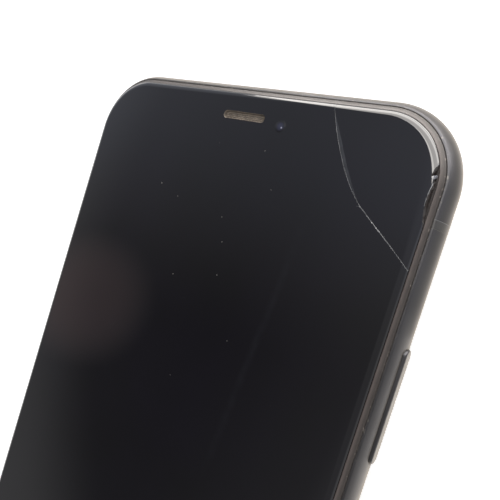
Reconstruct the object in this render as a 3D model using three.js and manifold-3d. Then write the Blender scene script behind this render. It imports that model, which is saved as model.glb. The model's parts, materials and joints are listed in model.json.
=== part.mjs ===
// A slab smartphone with its cover glass broken across one corner: round-sided metal frame,
// bonded display, glass back, side buttons, card tray and the modules inside.
// Millimetres. +Z points out of the screen, +Y to the earpiece end, +X to the side with the long button.
// The origin is under the middle of the phone, on the plane that the rear camera ring touches.
import * as THREE from "three";
import { mergeVertices } from "three/addons/utils/BufferGeometryUtils.js";
import Module from "manifold-3d";

const wasm = await Module();
wasm.setup();

// Outer form
const BODY_WIDTH = 75.7;
const BODY_LENGTH = 150.9;
const BODY_THICKNESS = 8.3;
const CORNER_RADIUS = 12.4;
const CAMERA_BUMP = 0.9;

// Frame: drops are measured from the glass faces, insets from the widest line of the side
const FRONT_RIM_DROP = 1.2;
const FRONT_RIM_LAND = 0.22;
const BACK_RIM_DROP = 0.55;
const BACK_RIM_LAND = 0.25;
const DISPLAY_LEDGE_DROP = 2.2;
const WALL = 3.4;
const LIP_WIDTH = 1.0;
const LIP_THICKNESS = 0.45;
const ANTENNA_FROM_END = 17.0;
const ANTENNA_WIDTH = 1.3;
const ANTENNA_DEPTH = 1.2;

// Clearances
const BOND = 0.05;
const FIT = 0.1;
const LOOSE = 0.3;
const MODULE_GAP = 0.8;

// Display
const DISPLAY_GAP = 0.12;
const BEZEL_WIDTH = 0.82;
const BEZEL_LIP = 0.1;
const BEZEL_RISE = 0.1;
const BEZEL_TOP_DROP = 0.68;
const GLASS_THICKNESS = 0.8;
const GLASS_EDGE_RUN = 1.0;
const GLASS_EDGE_STAND = 0.12;
const GLASS_SEAT = 1.1;
const PANEL_THICKNESS = 0.95;
const SHIELD_THICKNESS = 0.2;
const SEAL_THICKNESS = 0.2;
const NOTCH_WIDTH = 31;
const NOTCH_FROM_TOP = 10.2;

// Earpiece and front modules, placed from the top of the phone
const EARPIECE_FROM_TOP = 6.65;
const EARPIECE_LENGTH = 9.3;
const EARPIECE_HEIGHT = 1.75;
const MESH_THICKNESS = 0.3;
const MESH_SINK = 0.45;
const EARPIECE_SPEAKER = { width: 9.6, length: 4.8, height: 2.6, spout: 6.4 };
const FRONT_CAMERA_FROM_TOP = 7.3;
const FRONT_CAMERA_FROM_CENTRE = 7.75;
const FRONT_CAMERA = { size: 5.0, height: 3.4, barrelRadius: 1.55, barrelHeight: 1.1 };
const SENSOR_FROM_CENTRE = 10.2;
const SENSOR = { width: 8.6, length: 4.8, height: 2.2 };
const SENSOR_WINDOW = { radius: 1.2, height: 0.8, pitch: 3.8 };

// Crack and chips in the cover glass, as offsets from the corner of the body's outline
const CRACK_WIDTH = 0.07;
const CRACK_CURVE = [
  [-22.25, -1.55],
  [-20.7, -5.06],
  [-19.1, -8.06],
  [-16.85, -11.7],
  [-14.7, -14.45],
  [-12.6, -16.8],
];
const CRACK_END = [-1.55, -24.95];
const CHIP_DROP = 0.1;
const CHIPS = [
  { at: [-2.75, -10.3], radii: [0.62, 0.95, 0.55], turn: 10 },
  { at: [-2.45, -13.2], radii: [0.4, 3.0, 0.42], turn: 2 },
];

// Buttons: places are measured from the top of the phone to the middle of each
const BUTTON_STAND = 0.4;
const BUTTON_TRAVEL = 0.35;
const BUTTON_HEIGHT = 2.1;
const BUTTON_GUIDE = 1.1;
const BUTTON_ROUND = 0.3;
const BUTTON_STEM_RADIUS = 0.8;
const SIDE_BUTTON_FROM_TOP = 43.4;
const SIDE_BUTTON_LENGTH = 17.4;
const SIDE_STEM_PITCH = 9.0;
const VOLUME_LENGTH = 10.4;
const VOLUME_STEM_PITCH = 4.6;
const VOLUME_UP_FROM_TOP = 47.2;
const VOLUME_DOWN_FROM_TOP = 61.4;
const SWITCH_THICKNESS = 0.7;
const SWITCH_MARGIN = 2.2;
const DOME_RADIUS = 0.9;
const DOME_HEIGHT = 0.25;

// Silent switch
const MUTE_FROM_TOP = 33.6;
const MUTE_LENGTH = 5.8;
const MUTE_LEVER_HEIGHT = 1.5;
const MUTE_TRAVEL = 1.1;
const MUTE_RECESS = 0.75;
const MUTE_STAND = 0.15;
const MUTE_STEM = { length: 2.0, height: 0.9 };
const MUTE_BODY = { depth: 1.6, length: 6.4, height: 3.4 };

// Card tray and its reader
const TRAY_FROM_TOP = 85;
const TRAY_LENGTH = 15.2;
const TRAY_HEIGHT = 1.9;
const TRAY_PLATE = { length: 13.6, thickness: 1.1, depth: 13.4 };
const TRAY_CARD = { length: 12.3, depth: 8.8, sink: 0.7, corner: 1.6 };
const TRAY_PIN_RADIUS = 0.45;
const TRAY_PIN_DEPTH = 1.2;
const READER_WALL = 0.45;

// Bottom end
const PORT_WIDTH = 7.2;
const PORT_HEIGHT = 2.1;
const PORT_WALL = 0.7;
const PORT_DEPTH = 7.0;
const PORT_LENGTH = 8.6;
const PORT_SINK = 0.6;
const PORT_FLEX = { width: 5.6, thickness: 0.25, overlap: 2.4, step: 5.0 };
const SCREW_FROM_CENTRE = 8.2;
const SCREW_HEAD_RADIUS = 0.95;
const SCREW_HEAD_HEIGHT = 0.6;
const SCREW_SHANK_RADIUS = 0.6;
const SCREW_LENGTH = 3.1;
const SCREW_SINK = 0.15;
const SCREW_DRIVE = { length: 1.1, width: 0.28, depth: 0.3 };
const HOLE_COUNT = 6;
const HOLE_RADIUS = 0.7;
const HOLE_PITCH = 2.2;
const VENT_MESH_EDGE = 0.6;
const VENT_MESH_THICKNESS = 0.25;

// Back and rear camera, placed from the top and from the long-button side
const BACK_GLASS_THICKNESS = 0.8;
const BACK_EDGE_RUN = 1.0;
const BACK_EDGE_STAND = 0.15;
const CAMERA_FROM_TOP = 13.9;
const CAMERA_FROM_SIDE = 13.2;
const CAMERA_RING_RADIUS = 6.5;
const CAMERA_RING_WALL = 1.0;
const CAMERA_RING_FLANGE = 0.7;
const CAMERA_RING_SEAT = 0.8;
const CAMERA_RING_EASE = 0.2;
const LENS_SINK = 0.18;
const LENS_THICKNESS = 0.5;
const CAMERA_MODULE = { size: 12.4, corner: 0.8 };
const CAMERA_MODULE_HEADROOM = 0.6;
const FLASH_BELOW_CAMERA = 13.0;
const FLASH_RADIUS = 2.5;
const REAR_MIC_BELOW_CAMERA = 8.6;
const REAR_MIC_RADIUS = 0.5;

// Modules inside
const PLATE_THICKNESS = 0.4;
const COIL_RADIUS = 22.5;
const COIL_BORE = 9.5;
const COIL_FROM_CENTRE = -2;
const BOARD_WIDTH = 23.4;
const BOARD_THICKNESS = 0.8;
const BOARD_STANDOFF = 0.4;
const SHIELD_CAN_HEIGHT = 1.3;
const SHIELD_CAN_EDGE = 1.4;
const SHIELD_CAN_ROUND = 0.25;
const UPPER_CAN_LENGTH = 24;
const CONNECTOR_STRIP = 9.0;
const COVER_PLATE = { edge: 0.8, stand: 1.2, thickness: 0.3, screwInset: 1.7 };
const COVER_SCREW = { headRadius: 1.0, headHeight: 0.4, shankRadius: 0.5 };
const SWITCH_ROOM = 2.4;
const BATTERY_HEADROOM = 0.9;
const BATTERY_ROUND = 0.9;
const BATTERY_TOP_ROOM = 19;
const BATTERY_BOTTOM_ROOM = 24;
const BATTERY_TAB = { width: 3.0, thickness: 0.2, length: 5.0 };
const BOTTOM_MODULE_LENGTH = 17.5;
const BOTTOM_MODULE_HEADROOM = 1.0;
const BOTTOM_MODULE_ROUND = 1.5;
const PORT_ROOM = 7.4;
const SPEAKER_STAND = 0.5;
const DISPLAY_FLEX = { width: 3.0, thickness: 0.16, reach: 7.0, turnRoom: 0.9 };

// Fineness of the curves: half the steps in a quarter turn, sections of the side, sides of round pieces
const CORNER_STEPS = 4;
const COARSE_STEPS = 2;
const SIDE_SECTIONS = 10;
const EDGE_SECTIONS = 5;
const ROUND_SIDES = 28;
const SMALL_SIDES = 10;
const CRACK_STEPS = 14;

// Heights
const zBack = CAMERA_BUMP;
const zFront = zBack + BODY_THICKNESS;
const zMid = (zBack + zFront) / 2;
const zFrontRim = zFront - FRONT_RIM_DROP;
const zBackRim = zBack + BACK_RIM_DROP;
const zDisplayLedge = zFront - DISPLAY_LEDGE_DROP;
const zBezelFoot = zDisplayLedge + SEAL_THICKNESS + 2 * BOND;
const zGlassUnder = zFront - GLASS_THICKNESS;
const zPanelTop = zGlassUnder - BOND;
const zPanelUnder = zPanelTop - PANEL_THICKNESS;
const zCeiling = zPanelUnder - BOND - SHIELD_THICKNESS;
const zLip = zBack + BACK_GLASS_THICKNESS + BOND;
const zPlate = zLip + LIP_THICKNESS + BOND;
const zFloor = zPlate + PLATE_THICKNESS;

// Plan positions
const xSide = BODY_WIDTH / 2;
const yEnd = BODY_LENGTH / 2;
const sideRadius = BODY_THICKNESS / 2;
const displayPocketInset = sideInset(zFrontRim) + FRONT_RIM_LAND;
const bezelInset = displayPocketInset + DISPLAY_GAP;
const glassInset = bezelInset + BEZEL_WIDTH;
const panelInset = glassInset + GLASS_SEAT;
const backPocketInset = sideInset(zBackRim) + BACK_RIM_LAND;
const backGlassInset = backPocketInset + FIT;
const xWall = xSide - WALL;
const yWall = yEnd - WALL;
const cameraX = xSide - CAMERA_FROM_SIDE;
const cameraY = yEnd - CAMERA_FROM_TOP;
const flashY = cameraY - FLASH_BELOW_CAMERA;
const trayY = yEnd - TRAY_FROM_TOP;
const xColumn = xWall - SWITCH_ROOM;
const boardLeft = xColumn - BOARD_WIDTH;
const boardTop = cameraY - CAMERA_MODULE.size / 2 - MODULE_GAP;
const boardBottom = trayY + TRAY_PLATE.length / 2 + FIT + READER_WALL + MODULE_GAP;
const zBoard = zFloor + BOARD_STANDOFF;
const zBoardTop = zBoard + BOARD_THICKNESS;

// Finishes
const FINISH = {
  anodised: finish(0x3b3d41, 0.5, 0.7),
  bezelPlastic: finish(0x4a4746, 0.6, 0),
  glass: finish(0x0b0c0f, 0.06, 0),
  screen: finish(0x050506, 0.25, 0),
  blackPlastic: finish(0x1b1c1e, 0.5, 0),
  rubber: finish(0x141414, 0.85, 0),
  mesh: finish(0x8f877c, 0.7, 0.2),
  steel: finish(0xb4b6b8, 0.35, 1),
  darkSteel: finish(0x55585c, 0.4, 1),
  lens: finish(0x10121c, 0.05, 0),
  flash: finish(0xe8dfb0, 0.3, 0),
  copper: finish(0xb56a3c, 0.4, 1),
  board: finish(0x12261c, 0.55, 0),
  flex: finish(0x2a1d10, 0.6, 0),
  cell: finish(0x1d1e20, 0.6, 0),
};

function finish(color, roughness, metalness) {
  return new THREE.MeshStandardMaterial({ color, roughness, metalness });
}

// How far the round side lies inside its widest line at a height
function sideInset(z) {
  return sideRadius - Math.sqrt(sideRadius ** 2 - (z - zMid) ** 2);
}

// The body's plan outline, moved inwards
function planShape(inset) {
  const x = xSide - CORNER_RADIUS;
  const y = yEnd - CORNER_RADIUS;
  const radius = CORNER_RADIUS - inset;
  const quarter = Math.PI / 2;
  const shape = new THREE.Shape();
  shape.absarc(x, y, radius, 0, quarter);
  shape.absarc(-x, y, radius, quarter, 2 * quarter);
  shape.absarc(-x, -y, radius, 2 * quarter, 3 * quarter);
  shape.absarc(x, -y, radius, 3 * quarter, 4 * quarter);
  return shape;
}

// A slot with round ends, its length along the shape's x
function slotShape(length, height) {
  const radius = height / 2;
  const reach = length / 2 - radius;
  const shape = new THREE.Shape();
  shape.absarc(reach, 0, radius, -Math.PI / 2, Math.PI / 2);
  shape.absarc(-reach, 0, radius, Math.PI / 2, 1.5 * Math.PI);
  return shape;
}

// A rectangle with round corners
function roundedShape(width, length, radius) {
  const x = width / 2 - radius;
  const y = length / 2 - radius;
  const quarter = Math.PI / 2;
  const shape = new THREE.Shape();
  shape.absarc(x, y, radius, 0, quarter);
  shape.absarc(-x, y, radius, quarter, 2 * quarter);
  shape.absarc(-x, -y, radius, 2 * quarter, 3 * quarter);
  shape.absarc(x, -y, radius, 3 * quarter, 4 * quarter);
  return shape;
}

// A closed outline through points
function outlineShape(points) {
  return new THREE.Shape(points.map(([x, y]) => new THREE.Vector2(x, y)));
}

// A closed geometry as a solid, without the collapsed triangles that a revolve leaves on its axis
function solidOf(geometry) {
  const bare = new THREE.BufferGeometry();
  bare.setAttribute("position", geometry.getAttribute("position"));
  bare.setIndex(geometry.index);
  const merged = mergeVertices(bare, 1e-5);
  const corners = merged.index.array;
  const triangles = [];
  for (let i = 0; i < corners.length; i += 3) {
    const [a, b, c] = corners.subarray(i, i + 3);
    if (a !== b && b !== c && c !== a) triangles.push(a, b, c);
  }
  const vertProperties = merged.getAttribute("position").array;
  const triVerts = new Uint32Array(triangles);
  return new wasm.Manifold(new wasm.Mesh({ numProp: 3, vertProperties, triVerts }));
}

// A solid as a geometry
function geometryOf(solid) {
  const made = solid.getMesh();
  const geometry = new THREE.BufferGeometry();
  geometry.setAttribute("position", new THREE.BufferAttribute(made.vertProperties, made.numProp));
  geometry.setIndex(new THREE.BufferAttribute(made.triVerts, 1));
  return geometry;
}

// The first geometry without what the others take up
function cut(base, ...tools) {
  return geometryOf(tools.reduce((rest, tool) => rest.subtract(solidOf(tool)), solidOf(base)));
}

// All the geometries as one
function join(...parts) {
  return geometryOf(parts.map(solidOf).reduce((all, part) => all.add(part)));
}

// What two geometries share
function overlap(one, other) {
  return geometryOf(solidOf(one).intersect(solidOf(other)));
}

// A loft through plan outlines, each given as [inset, z], from the lowest up
function plate(sections) {
  const rings = sections.map(([inset, z]) => {
    return planShape(inset).getPoints(CORNER_STEPS).map((point) => [point.x, point.y, z]);
  });
  const count = rings[0].length;
  const last = (rings.length - 1) * count;
  const index = [];
  for (let low = 0; low < last; low += count) {
    for (let i = 0; i < count; i++) {
      const a = low + i;
      const b = low + ((i + 1) % count);
      index.push(a, b, b + count, a, b + count, a + count);
    }
  }
  const outline = rings[0].map(([x, y]) => new THREE.Vector2(x, y));
  for (const [a, b, c] of THREE.ShapeUtils.triangulateShape(outline, [])) {
    index.push(c, b, a, last + a, last + b, last + c);
  }
  const geometry = new THREE.BufferGeometry();
  geometry.setAttribute("position", new THREE.Float32BufferAttribute(rings.flat(2), 3));
  geometry.setIndex(index);
  return geometry;
}

// A plate with the same outline all the way up
function slab(inset, zLow, zHigh) {
  return plate([
    [inset, zLow],
    [inset, zHigh],
  ]);
}

// An outline extruded up from z = 0, with its edges rounded if a radius is given
function prism(shape, height, round = 0, steps = CORNER_STEPS) {
  const geometry = new THREE.ExtrudeGeometry(shape, {
    depth: height - 2 * round,
    bevelEnabled: round > 0,
    bevelThickness: round,
    bevelSize: round,
    bevelOffset: -round,
    bevelSegments: Math.ceil(steps / 2),
    curveSegments: steps,
  });
  return geometry.translate(0, 0, round);
}

// A box between two corners
function block(low, high) {
  const size = high.map((value, i) => value - low[i]);
  const middle = high.map((value, i) => (value + low[i]) / 2);
  return new THREE.BoxGeometry(...size).translate(...middle);
}

// A box centred in plan, standing on z = 0
function box(width, length, height) {
  return new THREE.BoxGeometry(width, length, height).translate(0, 0, height / 2);
}

// A round bar along z, standing on z = 0
function bar(radius, height, sides = ROUND_SIDES) {
  const geometry = new THREE.CylinderGeometry(radius, radius, height, sides);
  return geometry.rotateX(Math.PI / 2).translate(0, 0, height / 2);
}

// A profile of [radius, height] points turned about z
function turned(profile, sides = ROUND_SIDES) {
  const points = profile.map(([radius, height]) => new THREE.Vector2(radius, height));
  return new THREE.LatheGeometry(points, sides).rotateX(Math.PI / 2);
}

// Lays a geometry drawn up z on a long side: z becomes the distance out from the middle of the phone,
// x runs along the side and y up through the thickness. The side is 1 for +X and -1 for -X.
function onSide(geometry, side, fromTop) {
  const along = new THREE.Vector3(0, side, 0);
  const up = new THREE.Vector3(0, 0, 1);
  const out = new THREE.Vector3(side, 0, 0);
  geometry.applyMatrix4(new THREE.Matrix4().makeBasis(along, up, out));
  return geometry.translate(0, yEnd - fromTop, zMid);
}

// Lays a geometry drawn up z on the bottom end: z becomes the distance out from the middle of the phone
function onBottom(geometry, x) {
  const along = new THREE.Vector3(1, 0, 0);
  const up = new THREE.Vector3(0, 0, 1);
  const out = new THREE.Vector3(0, -1, 0);
  geometry.applyMatrix4(new THREE.Matrix4().makeBasis(along, up, out));
  return geometry.translate(x, 0, zMid);
}

// A named mesh of a geometry
function piece(name, geometry, material) {
  const shown = geometryOf(solidOf(geometry));
  shown.computeVertexNormals();
  const mesh = new THREE.Mesh(shown, material.clone());
  mesh.name = name;
  return mesh;
}

function group(...pieces) {
  const made = new THREE.Group();
  made.add(...pieces);
  return made;
}

// Sections of a glass edge that curves from its foot over to its flat face
function softEdge(inset, run, zFoot, zFace) {
  const sections = [];
  for (let i = 0; i <= EDGE_SECTIONS; i++) {
    const turn = (Math.PI / 2) * (i / EDGE_SECTIONS);
    sections.push([inset + run * (1 - Math.cos(turn)), zFoot + (zFace - zFoot) * Math.sin(turn)]);
  }
  return sections;
}

// The round-sided body between its two rims, moved inwards
function bodyBlank(inset) {
  const low = Math.asin((zBackRim - zMid) / sideRadius);
  const high = Math.asin((zFrontRim - zMid) / sideRadius);
  const sections = [];
  for (let i = 0; i <= SIDE_SECTIONS; i++) {
    const turn = low + (high - low) * (i / SIDE_SECTIONS);
    sections.push([sideRadius * (1 - Math.cos(turn)) + inset, zMid + sideRadius * Math.sin(turn)]);
  }
  return plate(sections);
}

// Side buttons: a round-edged cap guided in the frame, with two stems that reach the switch inside
const buttonSeat = xSide - BUTTON_GUIDE;
const switchReach = xWall - BUTTON_TRAVEL - FIT;

function pushButton(length, stemPitch) {
  const cap = prism(slotShape(length, BUTTON_HEIGHT), BUTTON_GUIDE + BUTTON_STAND, BUTTON_ROUND);
  const stems = [-1, 1].map((way) => {
    const stem = bar(BUTTON_STEM_RADIUS, buttonSeat - xWall + BUTTON_ROUND, SMALL_SIDES);
    return stem.translate((way * stemPitch) / 2, 0, xWall);
  });
  return join(cap.translate(0, 0, buttonSeat), ...stems);
}

function pushButtonHole(length, stemPitch) {
  const floor = buttonSeat - BUTTON_TRAVEL - FIT;
  const pocket = prism(slotShape(length + 2 * FIT, BUTTON_HEIGHT + 2 * FIT), xSide - floor + WALL);
  const holes = [-1, 1].map((way) => {
    const hole = bar(BUTTON_STEM_RADIUS + FIT, WALL + MODULE_GAP, SMALL_SIDES);
    return hole.translate((way * stemPitch) / 2, 0, xWall - MODULE_GAP);
  });
  return join(pocket.translate(0, 0, floor), ...holes);
}

function buttonSwitch(stemPitch) {
  const body = box(stemPitch + 2 * SWITCH_MARGIN, BUTTON_HEIGHT, SWITCH_THICKNESS);
  const domes = [-1, 1].map((way) => {
    const dome = bar(DOME_RADIUS, DOME_HEIGHT + BOND, SMALL_SIDES);
    return dome.translate((way * stemPitch) / 2, 0, switchReach - DOME_HEIGHT - BOND);
  });
  return join(body.translate(0, 0, switchReach - DOME_HEIGHT - SWITCH_THICKNESS), ...domes);
}

// Silent switch: a lever that slides front to back in a recess, shown pushed to the front
const muteFloor = xSide - MUTE_RECESS;

function muteLever() {
  const shape = slotShape(MUTE_LENGTH, MUTE_LEVER_HEIGHT);
  const lever = prism(shape, MUTE_RECESS - FIT + MUTE_STAND, BUTTON_ROUND / 2);
  const stem = box(MUTE_STEM.length, MUTE_STEM.height, muteFloor - xWall + MUTE_RECESS / 2);
  const whole = join(lever.translate(0, 0, muteFloor + FIT), stem.translate(0, 0, xWall));
  return whole.translate(0, MUTE_TRAVEL / 2, 0);
}

function muteHole() {
  const height = MUTE_LEVER_HEIGHT + MUTE_TRAVEL + 2 * FIT;
  const shape = roundedShape(MUTE_LENGTH + 2 * FIT, height, MUTE_LEVER_HEIGHT / 2);
  const slot = box(MUTE_STEM.length + 2 * FIT, MUTE_STEM.height + MUTE_TRAVEL + 2 * FIT, WALL + MODULE_GAP);
  return join(prism(shape, WALL).translate(0, 0, muteFloor), slot.translate(0, 0, xWall - MODULE_GAP));
}

function muteSwitchBody() {
  const body = box(MUTE_BODY.length, MUTE_BODY.height, MUTE_BODY.depth);
  return body.translate(0, 0, xWall - LOOSE - MUTE_BODY.depth);
}

// Card tray: a cap that continues the round side, and a plate with a sunk bed for the card
const trayCapSeat = xSide - sideInset(zMid + TRAY_HEIGHT / 2) - TRAY_PIN_DEPTH;
const trayInnerEnd = trayCapSeat - TRAY_PLATE.depth;

function cardTray() {
  const capPrism = prism(slotShape(TRAY_LENGTH, TRAY_HEIGHT), WALL).translate(0, 0, trayCapSeat);
  const cap = overlap(onSide(capPrism, 1, TRAY_FROM_TOP), bodyBlank(0));
  const plank = box(TRAY_PLATE.length, TRAY_PLATE.thickness, TRAY_PLATE.depth + FIT);
  const shape = roundedShape(TRAY_CARD.length, TRAY_CARD.depth, TRAY_CARD.corner);
  const bed = prism(shape, TRAY_PLATE.thickness).rotateX(-Math.PI / 2);
  const bedMiddle = trayInnerEnd + TRAY_PLATE.depth / 2;
  bed.translate(0, TRAY_PLATE.thickness / 2 - TRAY_CARD.sink, bedMiddle);
  const bedded = cut(plank.translate(0, 0, trayInnerEnd), bed);
  const pin = bar(TRAY_PIN_RADIUS, WALL, SMALL_SIDES);
  pin.translate(TRAY_LENGTH / 2 - TRAY_HEIGHT / 2, 0, trayCapSeat + LOOSE);
  return cut(join(cap, onSide(bedded, 1, TRAY_FROM_TOP)), onSide(pin, 1, TRAY_FROM_TOP));
}

function cardTrayHole() {
  const shape = slotShape(TRAY_LENGTH + 2 * FIT, TRAY_HEIGHT + 2 * FIT);
  return prism(shape, WALL + 2 * MODULE_GAP).translate(0, 0, xWall - MODULE_GAP);
}

// The reader stands on the mid plate and takes the tray in from its open side
function cardReader() {
  const halfBay = TRAY_PLATE.length / 2 + FIT;
  const bayLow = zMid - TRAY_PLATE.thickness / 2 - FIT;
  const bayHigh = zMid + TRAY_PLATE.thickness / 2 + FIT;
  const inner = trayInnerEnd - LOOSE;
  const outer = xWall - LOOSE;
  const shell = block(
    [inner - READER_WALL, trayY - halfBay - READER_WALL, zFloor + BOND],
    [outer, trayY + halfBay + READER_WALL, bayHigh + READER_WALL],
  );
  return cut(shell, block([inner, trayY - halfBay, bayLow], [outer + LOOSE, trayY + halfBay, bayHigh]));
}

// Charging port: a round-ended socket let into the bottom of the frame
function chargingPort() {
  const shell = prism(slotShape(PORT_WIDTH + 2 * PORT_WALL, PORT_HEIGHT + 2 * PORT_WALL), PORT_LENGTH);
  const socket = prism(slotShape(PORT_WIDTH, PORT_HEIGHT), PORT_LENGTH);
  socket.translate(0, 0, PORT_LENGTH - PORT_DEPTH);
  return cut(shell, socket).translate(0, 0, yEnd - PORT_SINK - PORT_LENGTH);
}

function chargingPortHole() {
  const width = PORT_WIDTH + 2 * PORT_WALL + 2 * FIT;
  const height = PORT_HEIGHT + 2 * PORT_WALL + 2 * FIT;
  return prism(slotShape(width, height), WALL + 2 * MODULE_GAP).translate(0, 0, yWall - MODULE_GAP);
}

// Bottom screw: pan head with a cross drive, let into the frame
function bottomScrew() {
  const headTop = yEnd - SCREW_SINK;
  const shoulder = headTop - SCREW_HEAD_HEIGHT;
  const screw = turned(
    [
      [0, headTop - SCREW_LENGTH],
      [SCREW_SHANK_RADIUS, headTop - SCREW_LENGTH],
      [SCREW_SHANK_RADIUS, shoulder],
      [SCREW_HEAD_RADIUS, shoulder],
      [SCREW_HEAD_RADIUS, headTop],
      [0, headTop],
    ],
    SMALL_SIDES,
  );
  const { length, width, depth } = SCREW_DRIVE;
  const drives = [box(length, width, depth * 2), box(width, length, depth * 2)];
  return cut(screw, ...drives.map((drive) => drive.translate(0, 0, headTop - depth)));
}

function bottomScrewHole() {
  const head = bar(SCREW_HEAD_RADIUS + FIT, WALL, SMALL_SIDES);
  const shank = bar(SCREW_SHANK_RADIUS + FIT, WALL + MODULE_GAP, SMALL_SIDES);
  const seat = yEnd - SCREW_SINK - SCREW_HEAD_HEIGHT - FIT;
  return join(head.translate(0, 0, seat), shank.translate(0, 0, yWall - MODULE_GAP));
}

// A row of sound holes between the screw and the corner, and the fine mesh behind it
const holeRowLength = HOLE_PITCH * (HOLE_COUNT - 1);
const holeRowMiddle = (SCREW_FROM_CENTRE + xSide - CORNER_RADIUS) / 2;

function soundHoles() {
  const holes = [];
  for (let i = 0; i < HOLE_COUNT; i++) {
    const hole = bar(HOLE_RADIUS, WALL + 2 * MODULE_GAP, SMALL_SIDES);
    holes.push(hole.translate(i * HOLE_PITCH - holeRowLength / 2, 0, yWall - MODULE_GAP));
  }
  return join(...holes);
}

function ventMesh() {
  const height = 2 * (HOLE_RADIUS + VENT_MESH_EDGE);
  const shape = slotShape(holeRowLength + height, height);
  return prism(shape, VENT_MESH_THICKNESS).translate(0, 0, yWall - LOOSE - VENT_MESH_THICKNESS);
}

// Frame, with its antenna strips cut out of it
function frameWithPockets() {
  return cut(
    bodyBlank(0),
    slab(displayPocketInset, zDisplayLedge, zFront),
    slab(WALL, zLip + LIP_THICKNESS, zFront),
    slab(WALL + LIP_WIDTH, 0, zFront),
    slab(backPocketInset, 0, zLip),
    onSide(pushButtonHole(SIDE_BUTTON_LENGTH, SIDE_STEM_PITCH), 1, SIDE_BUTTON_FROM_TOP),
    onSide(pushButtonHole(VOLUME_LENGTH, VOLUME_STEM_PITCH), -1, VOLUME_UP_FROM_TOP),
    onSide(pushButtonHole(VOLUME_LENGTH, VOLUME_STEM_PITCH), -1, VOLUME_DOWN_FROM_TOP),
    onSide(muteHole(), -1, MUTE_FROM_TOP),
    onSide(cardTrayHole(), 1, TRAY_FROM_TOP),
    onBottom(chargingPortHole(), 0),
    onBottom(bottomScrewHole(), SCREW_FROM_CENTRE),
    onBottom(bottomScrewHole(), -SCREW_FROM_CENTRE),
    onBottom(soundHoles(), holeRowMiddle),
    onBottom(soundHoles(), -holeRowMiddle),
  );
}

// The slice of the wall's outer skin that an antenna strip fills, with play round it
function antennaSlice(side, end, play) {
  const middle = end * (yEnd - ANTENNA_FROM_END);
  const reach = ANTENNA_WIDTH / 2 + play;
  const inner = side * (xWall - LIP_WIDTH);
  const outer = side * (xSide + LIP_WIDTH);
  const band = block(
    [Math.min(inner, outer), middle - reach, 0],
    [Math.max(inner, outer), middle + reach, zFront],
  );
  return cut(band, bodyBlank(ANTENNA_DEPTH + play));
}

const ANTENNAS = [
  ["antenna_strip_upper_right", 1, 1],
  ["antenna_strip_upper_left", -1, 1],
  ["antenna_strip_lower_right", 1, -1],
  ["antenna_strip_lower_left", -1, -1],
];
const wholeFrame = frameWithPockets();
const frameBody = cut(wholeFrame, ...ANTENNAS.map(([, side, end]) => antennaSlice(side, end, BOND)));
const antennaStrips = ANTENNAS.map(([name, side, end]) => {
  return piece(name, overlap(wholeFrame, antennaSlice(side, end, 0)), FINISH.blackPlastic);
});

// Cover glass, broken in two along the crack
function crackPath() {
  const points = CRACK_CURVE.map(([x, y]) => new THREE.Vector2(xSide + x, yEnd + y));
  const curved = new THREE.SplineCurve(points).getPoints(CRACK_STEPS);
  return [...curved, new THREE.Vector2(xSide + CRACK_END[0], yEnd + CRACK_END[1])];
}

// The side of the crack that holds the corner, its edge moved towards the corner
function cornerSide(shift) {
  const path = crackPath();
  const moved = path.map((point, i) => {
    const before = path[Math.max(i - 1, 0)];
    const after = path[Math.min(i + 1, path.length - 1)];
    const along = after.clone().sub(before).normalize();
    return [point.x - along.y * shift, point.y + along.x * shift];
  });
  const corner = [
    [xSide, yEnd + CRACK_END[1]],
    [xSide, yEnd],
    [xSide + CRACK_CURVE[0][0], yEnd],
  ];
  const region = prism(outlineShape([...moved, ...corner]), GLASS_THICKNESS + 2 * LOOSE);
  return region.translate(0, 0, zGlassUnder - LOOSE);
}

// Shell-shaped flakes missing from the glass edge
function chipHollow({ at, radii, turn }) {
  const hollow = new THREE.SphereGeometry(1, SMALL_SIDES, SMALL_SIDES / 2).scale(...radii);
  hollow.rotateZ(THREE.MathUtils.degToRad(turn));
  return hollow.translate(xSide + at[0], yEnd + at[1], zFront - CHIP_DROP);
}

const earpieceY = yEnd - EARPIECE_FROM_TOP;
const earpieceSlot = prism(slotShape(EARPIECE_LENGTH, EARPIECE_HEIGHT), GLASS_THICKNESS + 2 * LOOSE);
const glassEdge = softEdge(glassInset, GLASS_EDGE_RUN, zGlassUnder + GLASS_EDGE_STAND, zFront);
const wholeGlass = cut(
  plate([[glassInset, zGlassUnder], ...glassEdge]),
  earpieceSlot.translate(0, earpieceY, zGlassUnder - LOOSE),
  ...CHIPS.map(chipHollow),
);

// Display parts under the glass
const notch = block(
  [-NOTCH_WIDTH / 2, yEnd - NOTCH_FROM_TOP, 0],
  [NOTCH_WIDTH / 2, yEnd, zFront],
);
const panel = cut(slab(panelInset, zPanelUnder, zPanelTop), notch);
const shieldPlate = cut(slab(panelInset + FIT, zCeiling, zPanelUnder - BOND), notch);
const bezelBlank = plate([
  [bezelInset, zBezelFoot],
  [bezelInset, zFrontRim + BEZEL_RISE],
  [glassInset - BOND - BEZEL_LIP, zFront - BEZEL_TOP_DROP],
]);
const bezel = cut(
  bezelBlank,
  slab(glassInset - BOND, zPanelTop, zFront),
  slab(panelInset - FIT, zDisplayLedge, zFront),
);
const zSeal = zDisplayLedge + BOND;
const seal = cut(
  slab(displayPocketInset + LOOSE, zSeal, zSeal + SEAL_THICKNESS),
  slab(WALL - FIT, zDisplayLedge, zFront),
);

function earpieceSpeaker() {
  const { width, length, height, spout } = EARPIECE_SPEAKER;
  const top = zGlassUnder - LOOSE;
  const spoutTop = zFront - MESH_SINK - MESH_THICKNESS - FIT;
  const funnel = prism(slotShape(spout, EARPIECE_HEIGHT - 2 * FIT), spoutTop - top + LOOSE);
  const can = box(width, length, height).translate(0, 0, top - height);
  return join(can, funnel.translate(0, 0, top - LOOSE));
}

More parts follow.
